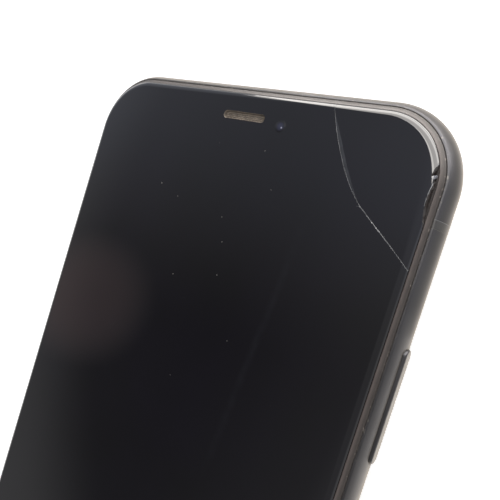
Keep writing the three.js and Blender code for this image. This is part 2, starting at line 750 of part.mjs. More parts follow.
function frontCamera() {
  const { size, height, barrelRadius, barrelHeight } = FRONT_CAMERA;
  const barrel = bar(barrelRadius, barrelHeight + LOOSE, ROUND_SIDES / 2).translate(0, 0, height - LOOSE);
  const body = join(box(size, size, height), barrel);
  return body.translate(0, 0, zGlassUnder - FIT - height - barrelHeight);
}

function frontSensor() {
  const { width, length, height } = SENSOR;
  const windows = [-1, 1].map((way) => {
    const window = bar(SENSOR_WINDOW.radius, SENSOR_WINDOW.height + LOOSE, SMALL_SIDES);
    return window.translate((way * SENSOR_WINDOW.pitch) / 2, 0, height - LOOSE);
  });
  const body = join(box(width, length, height), ...windows);
  return body.translate(0, 0, zGlassUnder - FIT - height - SENSOR_WINDOW.height);
}

// A flat cable folded from the display's back over to the connectors on the board
function displayFlex() {
  const { width, thickness, reach, turnRoom } = DISPLAY_FLEX;
  const top = zCeiling - FIT;
  const low = zBoardTop + LOOSE;
  const right = xColumn + turnRoom;
  const left = right - reach;
  const shape = outlineShape([
    [left, low],
    [right, low],
    [right, top],
    [left, top],
    [left, top - thickness],
    [right - thickness, top - thickness],
    [right - thickness, low + thickness],
    [left, low + thickness],
  ]);
  const cable = prism(shape, width).rotateX(Math.PI / 2);
  return cable.translate(0, connectorY + width / 2, 0);
}

// Back glass, rear camera and flash
const zBackInner = zBack + BACK_GLASS_THICKNESS;
const backEdge = softEdge(backGlassInset, BACK_EDGE_RUN, zBackInner - BACK_EDGE_STAND, zBack);
const throughGlass = BACK_GLASS_THICKNESS + 2 * LOOSE;
const rearMicY = cameraY - REAR_MIC_BELOW_CAMERA;
const backGlass = cut(
  plate([...backEdge.reverse(), [backGlassInset, zBackInner]]),
  bar(CAMERA_RING_RADIUS + FIT, throughGlass).translate(cameraX, cameraY, zBack - LOOSE),
  bar(FLASH_RADIUS + FIT, throughGlass, SMALL_SIDES * 2).translate(cameraX, flashY, zBack - LOOSE),
  bar(REAR_MIC_RADIUS, throughGlass, SMALL_SIDES).translate(cameraX, rearMicY, zBack - LOOSE),
);
const lensBore = CAMERA_RING_RADIUS - CAMERA_RING_WALL;
const barrelBore = lensBore - CAMERA_RING_SEAT;
const barrelRadius = barrelBore - LOOSE;
const zLensSeat = LENS_SINK + LENS_THICKNESS + BOND;
const zFlange = zBackInner + BOND;
const zFlangeTop = zPlate - BOND;
const cameraRing = turned([
  [lensBore, 0],
  [CAMERA_RING_RADIUS - CAMERA_RING_EASE, 0],
  [CAMERA_RING_RADIUS, CAMERA_RING_EASE],
  [CAMERA_RING_RADIUS, zFlange],
  [CAMERA_RING_RADIUS + CAMERA_RING_FLANGE, zFlange],
  [CAMERA_RING_RADIUS + CAMERA_RING_FLANGE, zFlangeTop],
  [barrelBore, zFlangeTop],
  [barrelBore, zLensSeat],
  [lensBore, zLensSeat],
  [lensBore, 0],
]);

function rearCameraModule() {
  const low = zFloor + FIT;
  const high = zCeiling - CAMERA_MODULE_HEADROOM;
  const can = prism(roundedShape(CAMERA_MODULE.size, CAMERA_MODULE.size, CAMERA_MODULE.corner), high - low);
  const barrel = bar(barrelRadius, low - zLensSeat);
  return join(can.translate(0, 0, low), barrel.translate(0, 0, zLensSeat + LOOSE));
}

const midPlate = cut(
  slab(WALL + FIT, zPlate, zFloor),
  bar(barrelRadius + LOOSE, PLATE_THICKNESS + 2 * LOOSE).translate(cameraX, cameraY, zPlate - LOOSE),
);
const coil = turned([
  [COIL_BORE, zFlange],
  [COIL_RADIUS, zFlange],
  [COIL_RADIUS, zFlangeTop],
  [COIL_BORE, zFlangeTop],
  [COIL_BORE, zFlange],
]);

// Main board with its shield cans and the covered connectors
const boardMiddle = boardLeft + BOARD_WIDTH / 2;
const connectorY = boardTop - CONNECTOR_STRIP / 2;
const coverLow = zBoardTop + COVER_PLATE.stand;
const coverTop = coverLow + COVER_PLATE.thickness;
const coverScrewX = BOARD_WIDTH / 2 - COVER_PLATE.edge - COVER_PLATE.screwInset;
const coverScrewY = CONNECTOR_STRIP / 2 - COVER_PLATE.edge - COVER_PLATE.screwInset;
const COVER_SCREWS = [
  ["connector_cover_screw_1", 1, 1],
  ["connector_cover_screw_2", -1, 1],
  ["connector_cover_screw_3", -1, -1],
  ["connector_cover_screw_4", 1, -1],
].map(([name, right, up]) => {
  return { name, x: boardMiddle + right * coverScrewX, y: connectorY + up * coverScrewY };
});

function coverScrewHoles() {
  return COVER_SCREWS.map(({ x, y }) => {
    return bar(COVER_SCREW.shankRadius + FIT, zFront, SMALL_SIDES).translate(x, y, 0);
  });
}

function coverScrew() {
  const { headRadius, headHeight, shankRadius } = COVER_SCREW;
  const low = zFloor + FIT;
  const shoulder = coverTop + BOND;
  return turned(
    [
      [0, low],
      [shankRadius, low],
      [shankRadius, shoulder],
      [headRadius, shoulder],
      [headRadius, shoulder + headHeight],
      [0, shoulder + headHeight],
    ],
    SMALL_SIDES,
  );
}

const mainBoard = cut(
  block([boardLeft, boardBottom, zBoard], [xColumn, boardTop, zBoardTop]),
  ...coverScrewHoles(),
);
const connectorCover = cut(
  block(
    [boardLeft + COVER_PLATE.edge, boardTop - CONNECTOR_STRIP + COVER_PLATE.edge, coverLow],
    [xColumn - COVER_PLATE.edge, boardTop - COVER_PLATE.edge, coverTop],
  ),
  ...coverScrewHoles(),
);
const canTop = boardTop - CONNECTOR_STRIP;
const canBottom = boardBottom + SHIELD_CAN_EDGE;
const canSplit = canTop - UPPER_CAN_LENGTH;

function shieldCan(low, high) {
  const shape = roundedShape(BOARD_WIDTH - 2 * SHIELD_CAN_EDGE, high - low, SHIELD_CAN_EDGE);
  const can = prism(shape, SHIELD_CAN_HEIGHT, SHIELD_CAN_ROUND, COARSE_STEPS);
  return can.translate(boardMiddle, (low + high) / 2, zBoardTop + BOND);
}

// Battery in the space left of the board, with the tab that plugs into it
const batteryRight = boardLeft - MODULE_GAP;
const batteryLow = zFloor + FIT;
const batteryTop = zCeiling - BATTERY_HEADROOM;
const batteryEnds = [-yWall + BATTERY_BOTTOM_ROOM, yWall - BATTERY_TOP_ROOM];
const batteryWidth = batteryRight + xColumn;
const batteryLength = batteryEnds[1] - batteryEnds[0];

function battery() {
  const shape = roundedShape(batteryWidth, batteryLength, 2 * BATTERY_ROUND);
  return prism(shape, batteryTop - batteryLow, BATTERY_ROUND, COARSE_STEPS);
}

const tabLeft = batteryRight + FIT;
const zTab = zBoardTop + LOOSE;
const batteryTab = block(
  [tabLeft, connectorY - BATTERY_TAB.width / 2, zTab],
  [tabLeft + BATTERY_TAB.length, connectorY + BATTERY_TAB.width / 2, zTab + BATTERY_TAB.thickness],
);

// Bottom modules follow the cavity's round corners
const moduleEnd = yWall - 2 * LOOSE - VENT_MESH_THICKNESS;

function bottomModule(side, low) {
  const shape = roundedShape(xColumn - PORT_ROOM, BOTTOM_MODULE_LENGTH, BOTTOM_MODULE_ROUND);
  const body = prism(shape, zCeiling - BOTTOM_MODULE_HEADROOM - low);
  body.translate(side * (PORT_ROOM + xColumn) / 2, BOTTOM_MODULE_LENGTH / 2 - moduleEnd, low);
  return overlap(body, slab(WALL + LOOSE, low, zCeiling));
}

function chargingFlex() {
  const portRear = -(yEnd - PORT_SINK - PORT_LENGTH);
  const { width, overlap: lap, step } = PORT_FLEX;
  const right = boardLeft + width;
  const shape = outlineShape([
    [-width / 2, portRear - lap],
    [width / 2, portRear - lap],
    [width / 2, portRear + step],
    [right, portRear + step],
    [right, boardBottom + lap],
    [boardLeft, boardBottom + lap],
    [boardLeft, portRear + 2 * step],
    [-width / 2, portRear + 2 * step],
  ]);
  return prism(shape, PORT_FLEX.thickness).translate(0, 0, zFloor + FIT);
}

const display = group(
  piece("cover_glass", cut(wholeGlass, cornerSide(-CRACK_WIDTH / 2)), FINISH.glass),
  piece("cover_glass_corner", overlap(wholeGlass, cornerSide(CRACK_WIDTH / 2)), FINISH.glass),
  piece("display_bezel", bezel, FINISH.bezelPlastic),
  piece("display_seal", seal, FINISH.rubber),
  piece("display_panel", panel, FINISH.screen),
  piece("display_shield_plate", shieldPlate, FINISH.steel),
  piece("display_flex", displayFlex(), FINISH.flex),
);

const meshShape = slotShape(EARPIECE_LENGTH - 2 * FIT, EARPIECE_HEIGHT - 2 * FIT);
const earpieceMesh = piece("earpiece_mesh", prism(meshShape, MESH_THICKNESS), FINISH.mesh);
earpieceMesh.position.set(0, earpieceY, zFront - MESH_SINK - MESH_THICKNESS);
const earpiece = piece("earpiece_speaker", earpieceSpeaker(), FINISH.blackPlastic);
earpiece.position.set(0, earpieceY, 0);
const selfieCamera = piece("front_camera", frontCamera(), FINISH.lens);
selfieCamera.position.set(FRONT_CAMERA_FROM_CENTRE, yEnd - FRONT_CAMERA_FROM_TOP, 0);
const sensor = piece("front_sensor_module", frontSensor(), FINISH.blackPlastic);
sensor.position.set(-SENSOR_FROM_CENTRE, earpieceY, 0);
const frontModules = group(earpieceMesh, earpiece, selfieCamera, sensor);

const sideButton = pushButton(SIDE_BUTTON_LENGTH, SIDE_STEM_PITCH);
const sideSwitch = buttonSwitch(SIDE_STEM_PITCH);
const volumeUp = pushButton(VOLUME_LENGTH, VOLUME_STEM_PITCH);
const volumeUpSwitch = buttonSwitch(VOLUME_STEM_PITCH);
const volumeDown = pushButton(VOLUME_LENGTH, VOLUME_STEM_PITCH);
const volumeDownSwitch = buttonSwitch(VOLUME_STEM_PITCH);
const buttons = group(
  piece("side_button", onSide(sideButton, 1, SIDE_BUTTON_FROM_TOP), FINISH.anodised),
  piece("side_button_switch", onSide(sideSwitch, 1, SIDE_BUTTON_FROM_TOP), FINISH.steel),
  piece("volume_up_button", onSide(volumeUp, -1, VOLUME_UP_FROM_TOP), FINISH.anodised),
  piece("volume_up_switch", onSide(volumeUpSwitch, -1, VOLUME_UP_FROM_TOP), FINISH.steel),
  piece("volume_down_button", onSide(volumeDown, -1, VOLUME_DOWN_FROM_TOP), FINISH.anodised),
  piece("volume_down_switch", onSide(volumeDownSwitch, -1, VOLUME_DOWN_FROM_TOP), FINISH.steel),
  piece("silent_switch_lever", onSide(muteLever(), -1, MUTE_FROM_TOP), FINISH.anodised),
  piece("silent_switch_body", onSide(muteSwitchBody(), -1, MUTE_FROM_TOP), FINISH.blackPlastic),
);

const bottomEnd = group(
  piece("charging_port", onBottom(chargingPort(), 0), FINISH.darkSteel),
  piece("charging_flex", chargingFlex(), FINISH.flex),
  piece("bottom_screw_right", onBottom(bottomScrew(), SCREW_FROM_CENTRE), FINISH.darkSteel),
  piece("bottom_screw_left", onBottom(bottomScrew(), -SCREW_FROM_CENTRE), FINISH.darkSteel),
  piece("speaker_mesh", onBottom(ventMesh(), holeRowMiddle), FINISH.blackPlastic),
  piece("microphone_mesh", onBottom(ventMesh(), -holeRowMiddle), FINISH.blackPlastic),
  piece("loudspeaker", bottomModule(1, zFloor + SPEAKER_STAND), FINISH.blackPlastic),
  piece("vibration_motor", bottomModule(-1, zFloor + FIT), FINISH.darkSteel),
);

const lensCover = piece("camera_lens_cover", bar(lensBore - FIT, LENS_THICKNESS), FINISH.lens);
lensCover.position.z = LENS_SINK;
const rearCamera = group(
  piece("camera_ring", cameraRing, FINISH.anodised),
  lensCover,
  piece("rear_camera_module", rearCameraModule(), FINISH.blackPlastic),
);
rearCamera.position.set(cameraX, cameraY, 0);
const flashDisc = bar(FLASH_RADIUS, BACK_GLASS_THICKNESS - 2 * BOND, SMALL_SIDES * 2);
const flash = piece("flash_lens", flashDisc, FINISH.flash);
flash.position.set(cameraX, flashY, zBack + BOND);
const chargingCoil = piece("wireless_coil", coil, FINISH.copper);
chargingCoil.position.y = COIL_FROM_CENTRE;
const back = group(piece("back_glass", backGlass, FINISH.glass), chargingCoil, rearCamera, flash);

const cell = piece("battery", battery(), FINISH.cell);
cell.position.set((batteryRight - xColumn) / 2, (batteryEnds[0] + batteryEnds[1]) / 2, batteryLow);
const coverScrews = COVER_SCREWS.map(({ name, x, y }) => {
  const screw = piece(name, coverScrew(), FINISH.steel);
  screw.position.set(x, y, 0);
  return screw;
});
const electronics = group(
  cell,
  piece("battery_tab", batteryTab, FINISH.flex),
  piece("main_board", mainBoard, FINISH.board),
  piece("shield_can_upper", shieldCan(canSplit + MODULE_GAP, canTop), FINISH.steel),
  piece("shield_can_lower", shieldCan(canBottom, canSplit), FINISH.steel),
  piece("connector_cover", connectorCover, FINISH.steel),
  ...coverScrews,
  piece("card_reader", cardReader(), FINISH.steel),
  piece("card_tray", cardTray(), FINISH.anodised),
);

const phone = group(
  piece("frame", frameBody, FINISH.anodised),
  ...antennaStrips,
  piece("mid_plate", midPlate, FINISH.steel),
  back,
  electronics,
  bottomEnd,
  buttons,
  frontModules,
  display,
);

export default phone;
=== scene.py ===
"""Looks of a slab smartphone whose cover glass is cracked across one corner."""

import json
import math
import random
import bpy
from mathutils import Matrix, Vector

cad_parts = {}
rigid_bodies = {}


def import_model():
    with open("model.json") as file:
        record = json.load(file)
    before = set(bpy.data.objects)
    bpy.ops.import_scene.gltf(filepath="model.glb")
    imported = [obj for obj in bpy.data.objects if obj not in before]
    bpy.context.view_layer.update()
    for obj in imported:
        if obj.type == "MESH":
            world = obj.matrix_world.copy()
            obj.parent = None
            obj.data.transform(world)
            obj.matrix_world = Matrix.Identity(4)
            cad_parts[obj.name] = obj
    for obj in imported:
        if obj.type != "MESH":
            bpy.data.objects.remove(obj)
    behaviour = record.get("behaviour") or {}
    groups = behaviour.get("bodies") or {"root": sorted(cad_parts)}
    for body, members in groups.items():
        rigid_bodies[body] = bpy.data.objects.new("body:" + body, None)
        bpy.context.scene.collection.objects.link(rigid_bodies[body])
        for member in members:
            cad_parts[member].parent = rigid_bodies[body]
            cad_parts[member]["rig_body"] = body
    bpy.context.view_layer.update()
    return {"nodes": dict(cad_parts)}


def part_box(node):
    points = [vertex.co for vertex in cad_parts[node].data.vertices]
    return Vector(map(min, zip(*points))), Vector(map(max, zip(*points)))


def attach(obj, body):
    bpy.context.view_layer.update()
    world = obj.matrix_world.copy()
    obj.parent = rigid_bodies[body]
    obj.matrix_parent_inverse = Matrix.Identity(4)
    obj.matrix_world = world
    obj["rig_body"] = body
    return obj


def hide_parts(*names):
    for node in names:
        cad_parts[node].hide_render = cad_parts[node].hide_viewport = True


bl_info = {
    "name": "Cracked smartphone",
    "version": (1, 0, 0),
    "blender": (4, 5, 0),
    "location": "3D View > Sidebar > Phone",
    "description": "Builds the visible pieces, materials and stage of a cracked smartphone",
    "category": "Object",
}

import bmesh
import bpy
from bpy.props import FloatProperty, FloatVectorProperty, IntProperty, PointerProperty
from mathutils import Matrix, Vector

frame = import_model()
NODES = frame["nodes"]

# Lengths in this file are millimetres until a mesh is made; the scene is in metres.
MM = 0.001
BODY = "phone"


def node_span(node, axis):
    """Lowest and highest value of a CAD node along an axis, in millimetres."""
    low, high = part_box(node)
    return low[axis] / MM, high[axis] / MM


def node_box(node):
    """Lowest and highest corner of a CAD node, in millimetres."""
    return [Vector(corner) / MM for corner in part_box(node)]


FRAME_X = node_span("frame", 0)
FRAME_Y = node_span("frame", 1)
Z_BACK = node_span("back_glass", 2)[0]
Z_FRONT = node_span("cover_glass", 2)[1]


# Sizes and colours

def linear(code):
    """An sRGB hex colour as linear red, green and blue."""
    values = [int(code[i:i + 2], 16) / 255 for i in (1, 3, 5)]
    return tuple(v / 12.92 if v <= 0.04045 else ((v + 0.055) / 1.055) ** 2.4 for v in values)


def length_prop(label, about, value):
    """A length that a user may change, given in millimetres and kept in metres."""
    return FloatProperty(
        name=label, description=about, default=value * MM, min=0, precision=5, subtype="DISTANCE"
    )


def colour_prop(label, about, code):
    """A colour that a user may change."""
    return FloatVectorProperty(
        name=label, description=about, subtype="COLOR", size=3, min=0, max=1, default=linear(code)
    )


class PhoneSizes(bpy.types.PropertyGroup):
    """Sizes of the phone's outer form."""

    width: length_prop("Width", "Across the frame", FRAME_X[1] - FRAME_X[0])
    length: length_prop("Length", "Along the frame", FRAME_Y[1] - FRAME_Y[0])
    z_back: length_prop("Back height", "Height of the back glass", Z_BACK)
    z_front: length_prop("Front height", "Height of the cover glass", Z_FRONT)
    corner_radius: length_prop("Corner radius", "Plan radius of the corners", 12.4)
    wall: length_prop("Wall", "Frame wall at its thickest", 3.4)
    glass_run: length_prop("Glass edge", "Width of the rounded edge of the glass", 1.0)
    crack_gap: length_prop("Crack gap", "Opening of the crack", 0.015)
    mesh_pitch: length_prop("Mesh pitch", "Wire spacing of the earpiece mesh", 0.3)
    corner_steps: IntProperty(name="Corner steps", description="Segments in a corner", default=28, min=4)
    dust_seed: IntProperty(name="Dust seed", description="Seed of the dust and nicks", default=7)


class PhoneColours(bpy.types.PropertyGroup):
    """Colours of the phone's finishes."""

    anodised: colour_prop("Frame", "Dark anodised aluminium", "#38383a")
    bezel: colour_prop("Bezel", "Plastic ring round the glass", "#37312d")
    ink: colour_prop("Ink", "Black print under the glass", "#05030a")
    dust: colour_prop("Dust", "Dust and glass crumbs", "#5f5b57")
    adhesive: colour_prop("Adhesive", "Adhesive bared by the chipped edge", "#140e0c")
    mesh_wire: colour_prop("Mesh", "Dusty earpiece mesh", "#857b6f")


def size(name):
    """One of the user's lengths, in millimetres."""
    return getattr(bpy.context.scene.phone_sizes, name) / MM


def colour(name):
    """One of the user's colours."""
    return getattr(bpy.context.scene.phone_colours, name)


def shaker(offset=0):
    """Random draws for one use, from the user's seed."""
    return random.Random(bpy.context.scene.phone_sizes.dust_seed + offset)


# Mesh helpers

def mesh_object(name, points, faces, materials=(), smooth_angle=32):
    """A mesh object at the origin from points in millimetres."""
    mesh = bpy.data.meshes.new(name)
    mesh.from_pydata([Vector(p) * MM for p in points], [], faces)
    return linked(name, mesh, materials, smooth_angle)


def linked(name, mesh, materials=(), smooth_angle=32):
    """An object for a mesh, shaded smooth except at edges sharper than the angle."""
    mesh.name = name
    for material in materials:
        mesh.materials.append(material)
    mesh.validate()
    if smooth_angle:
        mesh.shade_smooth()
        mesh.set_sharp_from_angle(angle=math.radians(smooth_angle))
    made = bpy.data.objects.new(name, mesh)
    bpy.context.scene.collection.objects.link(made)
    return made


def loft(rings, closed=False):
    """Points and faces through rings of equal count; an open loft gets a cap at each end."""
    count = len(rings[0])
    points = [p for ring in rings for p in ring]
    faces = []
    for s in range(len(rings) if closed else len(rings) - 1):
        low = s * count
        high = ((s + 1) % len(rings)) * count
        for i in range(count):
            j = (i + 1) % count
            faces.append((low + i, low + j, high + j, high + i))
    if not closed:
        last = (len(rings) - 1) * count
        faces.append(tuple(reversed(range(count))))
        faces.append(tuple(range(last, last + count)))
    return points, faces


def outward(made):
    """Turns the faces of a closed mesh outwards and merges doubled points."""
    work = bmesh.new()
    work.from_mesh(made.data)
    bmesh.ops.remove_doubles(work, verts=work.verts, dist=1e-7)
    bmesh.ops.recalc_face_normals(work, faces=work.faces)
    work.to_mesh(made.data)
    work.free()
    return made


def solid(name, rings, materials=(), smooth_angle=32, closed=False):
    """A closed solid lofted through rings of points."""
    return outward(mesh_object(name, *loft(rings, closed), materials, smooth_angle))


def delete(*objects):
    """Removes helper objects and their meshes."""
    for made in objects:
        mesh = made.data
        bpy.data.objects.remove(made)
        bpy.data.meshes.remove(mesh)


def applied(made, name, smooth_angle=32):
    """The object with its modifiers made part of a plain mesh."""
    bpy.context.view_layer.update()
    evaluated = made.evaluated_get(bpy.context.evaluated_depsgraph_get())
    mesh = bpy.data.meshes.new_from_object(evaluated)
    delete(made)
    return linked(name, mesh, (), smooth_angle)


def carved(made, cutters, operation="DIFFERENCE", smooth_angle=32):
    """The object after boolean cuts; the cutters are used up and lend the cut faces their material."""
    name = made.name
    for cutter in cutters:
        modifier = made.modifiers.new("cut", "BOOLEAN")
        modifier.operation = operation
        modifier.solver = "EXACT"
        modifier.object = cutter
        modifier.material_mode = "TRANSFER"
    made = applied(made, name, smooth_angle)
    delete(*cutters)
    return made


def corner_ring(length, height, radius, inset=0.0, steps=8):
    """A rectangle with round corners, moved inwards, as (along, up) pairs."""
    ring = []
    for quarter, (sx, sy) in enumerate(((1, 1), (-1, 1), (-1, -1), (1, -1))):
        for i in range(steps + 1):
            turn = (quarter + i / steps) * math.pi / 2
            ring.append((
                sx * (length / 2 - radius) + (radius - inset) * math.cos(turn),
                sy * (height / 2 - radius) + (radius - inset) * math.sin(turn),
            ))
    return ring


def slot_ring(length, height, inset=0.0, steps=8):
    """A slot outline with round ends, as (along, up) pairs."""
    return corner_ring(length, height, height / 2 - 1e-4, inset, steps)


def circle_ring(radius, steps=32, shift=0.0):
    """A circle, moved along, as (along, up) pairs."""
    turns = [2 * math.pi * i / steps for i in range(steps)]
    return [(radius * math.cos(turn) + shift, radius * math.sin(turn)) for turn in turns]


def plan_ring(inset, z):
    """The body's plan outline, moved inwards, at a height."""
    steps = bpy.context.scene.phone_sizes.corner_steps
    ring = corner_ring(size("width"), size("length"), size("corner_radius"), inset, steps)
    return [(x, y, z) for x, y in ring]


def on_side(side, y, z):
    """Places (along, up, out) points on a long side of the phone."""
    return lambda a, u, o: (side * o, y + side * a, z + u)


def on_bottom(x, z):
    """Places (along, up, out) points on the bottom end of the phone."""
    return lambda a, u, o: (x + a, -o, z + u)


def upright(x, y):
    """Places (along, up, out) points standing on a plan position."""
    return lambda a, u, o: (x + a, y + u, o)


def post(name, sections, place, materials=(), smooth_angle=32, closed=False):
    """A solid through (ring, out) sections, set in place."""
    rings = [[place(a, u, out) for a, u in ring] for ring, out in sections]
    return solid(name, rings, materials, smooth_angle, closed)


def bore(ring, low, high, place, material):
    """A straight cutter or peg on a ring."""
    return post("bore", [(ring, low), (ring, high)], place, (material,))


def turned(name, profile, place, materials, steps):
    """A ring turned about its own axis from a closed profile of (radius, out)."""
    sections = [(circle_ring(radius, steps), out) for radius, out in profile]
    return post(name, sections, place, materials, closed=True)


def swept(name, profile, materials):
    """A closed (inset, height) profile swept round the phone's outline."""
    return solid(name, [plan_ring(inset, z) for inset, z in profile], materials, closed=True)


def extruded(name, outline, low, high, materials):
    """A closed (x, z) outline drawn out along the phone's length."""
    return solid(name, [[(x, y, z) for x, z in outline] for y in (low, high)], materials)


def rounded_top(ring_at, out, radius, steps):
    """Sections of a rounded top edge; ring_at gives the ring for an inset."""
    sections = []
    for i in range(steps + 1):
        turn = math.pi / 2 * i / steps
        sections.append((ring_at(radius - radius * math.cos(turn)), out + radius * math.sin(turn)))
    return sections


def stands_for(piece, slot, *nodes, body=BODY):
    """Rides a finished piece on its body in place of CAD nodes."""
    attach(piece, body)
    if nodes:
        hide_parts(*nodes)
    return piece


# Material helpers

def add(tree, kind, inputs=None, **settings):
    """Adds a node with its settings; an input given as a socket is linked, any other is set."""
    node = tree.nodes.new(kind)
    for key, value in settings.items():
        setattr(node, key, value)
    for key, value in (inputs or {}).items():
        if isinstance(value, bpy.types.NodeSocket):
            tree.links.new(value, node.inputs[key])
        else:
            node.inputs[key].default_value = value
    return node


def made_material(name, build):
    """The material of that name, built by its function the first time it is asked for."""
    material = bpy.data.materials.get(name)
    if material is None:
        material = bpy.data.materials.new(name)
        material.use_nodes = True
        tree = material.node_tree
        tree.nodes.clear()
        point = add(tree, "ShaderNodeTexCoord").outputs["Object"]
        add(tree, "ShaderNodeOutputMaterial", {"Surface": build(tree, point).outputs[0]})
    return material


def finish(name):
    """Turns a function that builds a shader into one that gives the material of that name."""
    return lambda build: lambda: made_material(name, build)


def shader(tree, base, roughness, **others):
    """A Principled shader; the other inputs are written with underscores."""
    inputs = {key.replace("_", " "): value for key, value in others.items()}
    return add(tree, "ShaderNodeBsdfPrincipled", {"Base Color": base, "Roughness": roughness, **inputs})


def per_mm(pitch):
    """Texture scale for a pattern of a size in millimetres on Object coordinates."""
    return 1 / (pitch * MM)


def rgba(value, factor=1.0):
    """A hex code or linear colour with alpha, brightened or darkened by a factor."""
    value = linear(value) if isinstance(value, str) else value
    return (*[min(1.0, c * factor) for c in value], 1.0)


def calc(tree, operation, one, two=0.0):
    """The result of a sum on two values."""
    return add(tree, "ShaderNodeMath", {0: one, 1: two}, operation=operation).outputs[0]


def times(tree, first, *others):
    """The product of values."""
    for other in others:
        first = calc(tree, "MULTIPLY", first, other)
    return first


def vector(tree, operation, one, two, output):
    """A result of a sum on two vectors."""
    return add(tree, "ShaderNodeVectorMath", {0: one, 1: two}, operation=operation).outputs[output]


def parts(tree, point):
    """The X, Y and Z of a point."""
    return add(tree, "ShaderNodeSeparateXYZ", {"Vector": point}).outputs


def band(tree, value, start, full):
    """A value that rises from 0 to 1 between two limits."""
    return add(
        tree, "ShaderNodeMapRange",
        {"Value": value, "From Min": start, "From Max": full}, interpolation_type="SMOOTHSTEP",
    ).outputs["Result"]


def mixed(tree, factor, first, second):
    """Two colours mixed by a factor."""
    return add(
        tree, "ShaderNodeMix", {"Factor": factor, 6: first, 7: second}, data_type="RGBA",
    ).outputs[2]


def mottled(tree, point, grain, low, high, detail=3.0):
    """A soft noise of a size in millimetres, mapped to a range."""
    noise = add(tree, "ShaderNodeTexNoise", {"Vector": point, "Scale": per_mm(grain), "Detail": detail})
    return add(
        tree, "ShaderNodeMapRange",
        {"Value": noise.outputs["Fac"], "From Min": 0.3, "From Max": 0.7, "To Min": low, "To Max": high},
    ).outputs["Result"]


def two_tone(tree, point, grain, base, low, high, detail=3.0):
    """A colour mottled between a darker and a lighter shade of itself."""
    return mixed(tree, mottled(tree, point, grain, 0, 1, detail), rgba(base, low), rgba(base, high))


def grain_bump(tree, point, grain, strength):
    """A fine grain as bump."""
    noise = add(tree, "ShaderNodeTexNoise", {"Vector": point, "Scale": per_mm(grain), "Detail": 2.0})
    return add(
        tree, "ShaderNodeBump",
        {"Height": noise.outputs["Fac"], "Strength": strength, "Distance": grain * MM * 0.2},
    ).outputs["Normal"]


def fine_rings(tree, point, middle, first, second):
    """Fine rings of two colours about an upright axis; middle is the shift that centres them."""
    centred = add(tree, "ShaderNodeMapping", {"Vector": point, "Location": middle})
    rings = add(
        tree, "ShaderNodeTexWave", {"Vector": centred.outputs["Vector"], "Scale": per_mm(6.0)},
        wave_type="RINGS", rings_direction="Z",
    )
    return mixed(tree, rings.outputs["Fac"], rgba(first), rgba(second))


# Materials

GLASS_IOR = 1.5
# The soft brightening of the blasted frame and its filler strips at grazing angles
BLASTED_SHEEN = {"Sheen_Weight": 1.0, "Sheen_Roughness": 0.4, "Sheen_Tint": rgba("#f6e6cf")}


@finish("anodised_aluminium_blasted")
def anodised_aluminium(tree, point):
    """Dark anodised aluminium, bead blasted: a soft dark metal that brightens at grazing angles,
    rubbed to bare metal in nicks along the front rim."""
    tone = two_tone(tree, point, 7.0, colour("anodised"), 0.92, 1.08)
    rim = band(tree, parts(tree, point)["Z"], (Z_FRONT - 1.32) * MM, (Z_FRONT - 1.2) * MM)
    nicks = band(tree, mottled(tree, point, 0.6, -3.4, 1.1, 4.0), 0.1, 0.9)
    tone = mixed(tree, times(tree, rim, nicks, 0.15), tone, rgba("#a39c93"))
    return shader(
        tree, tone, mottled(tree, point, 3.0, 0.37, 0.46), Metallic=1.0,
        Normal=grain_bump(tree, point, 0.25, 0.12), **BLASTED_SHEEN,
    )


@finish("antenna_filler_plastic")
def antenna_plastic(tree, point):
    """Moulded filler strip tinted like the frame, with a thin pale line along its outer seam."""
    away = calc(tree, "ABSOLUTE", parts(tree, point)["Y"])
    seam = times(tree, band(tree, away, 59.0 * MM, 59.06 * MM), 0.6)
    return shader(
        tree, mixed(tree, seam, rgba("#040404"), rgba("#6a6a6c")),
        mottled(tree, point, 3.0, 0.37, 0.46), IOR=1.5,
        Normal=grain_bump(tree, point, 0.25, 0.12), **BLASTED_SHEEN,
    )


@finish("bezel_nylon_satin")
def bezel_plastic(tree, point):
    """Moulded glass-filled nylon ring: satin dark grey, smoother towards its lip and painted paler there as a
    highlight, and scuffed along its outer edge."""
    height = parts(tree, point)["Z"]
    outer_edge = band(tree, height, (Z_FRONT - 0.98) * MM, (Z_FRONT - 1.1) * MM)
    # lip rises up the bezel towards its top: it paints a highlight along the lip in a paler colour and also
    # lowers the roughness there
    lip = times(tree, band(tree, height, (Z_FRONT - 0.98) * MM, (Z_FRONT - 0.69) * MM), 0.48)
    nicks = band(tree, mottled(tree, point, 0.6, -4.0, 1.6, 5.0), 0.2, 0.9)
    tone = two_tone(tree, point, 4.0, colour("bezel"), 0.9, 1.15)
    tone = mixed(tree, lip, tone, rgba("#6b615c"))
    tone = mixed(tree, times(tree, outer_edge, nicks, 0.4), tone, rgba("#a79d93"))
    satin = mottled(tree, point, 1.5, 0.38, 0.5)
    return shader(
        tree, tone, calc(tree, "SUBTRACT", satin, times(tree, lip, 0.2)),
        Specular_IOR_Level=0.25, Normal=grain_bump(tree, point, 0.2, 0.1),
    )


# The long wiped smear on the glass: its two ends, half its width and the length of its faded ends
SMEAR = ((18.0, 57.0), (13.4, 7.5), 1.1, 12)


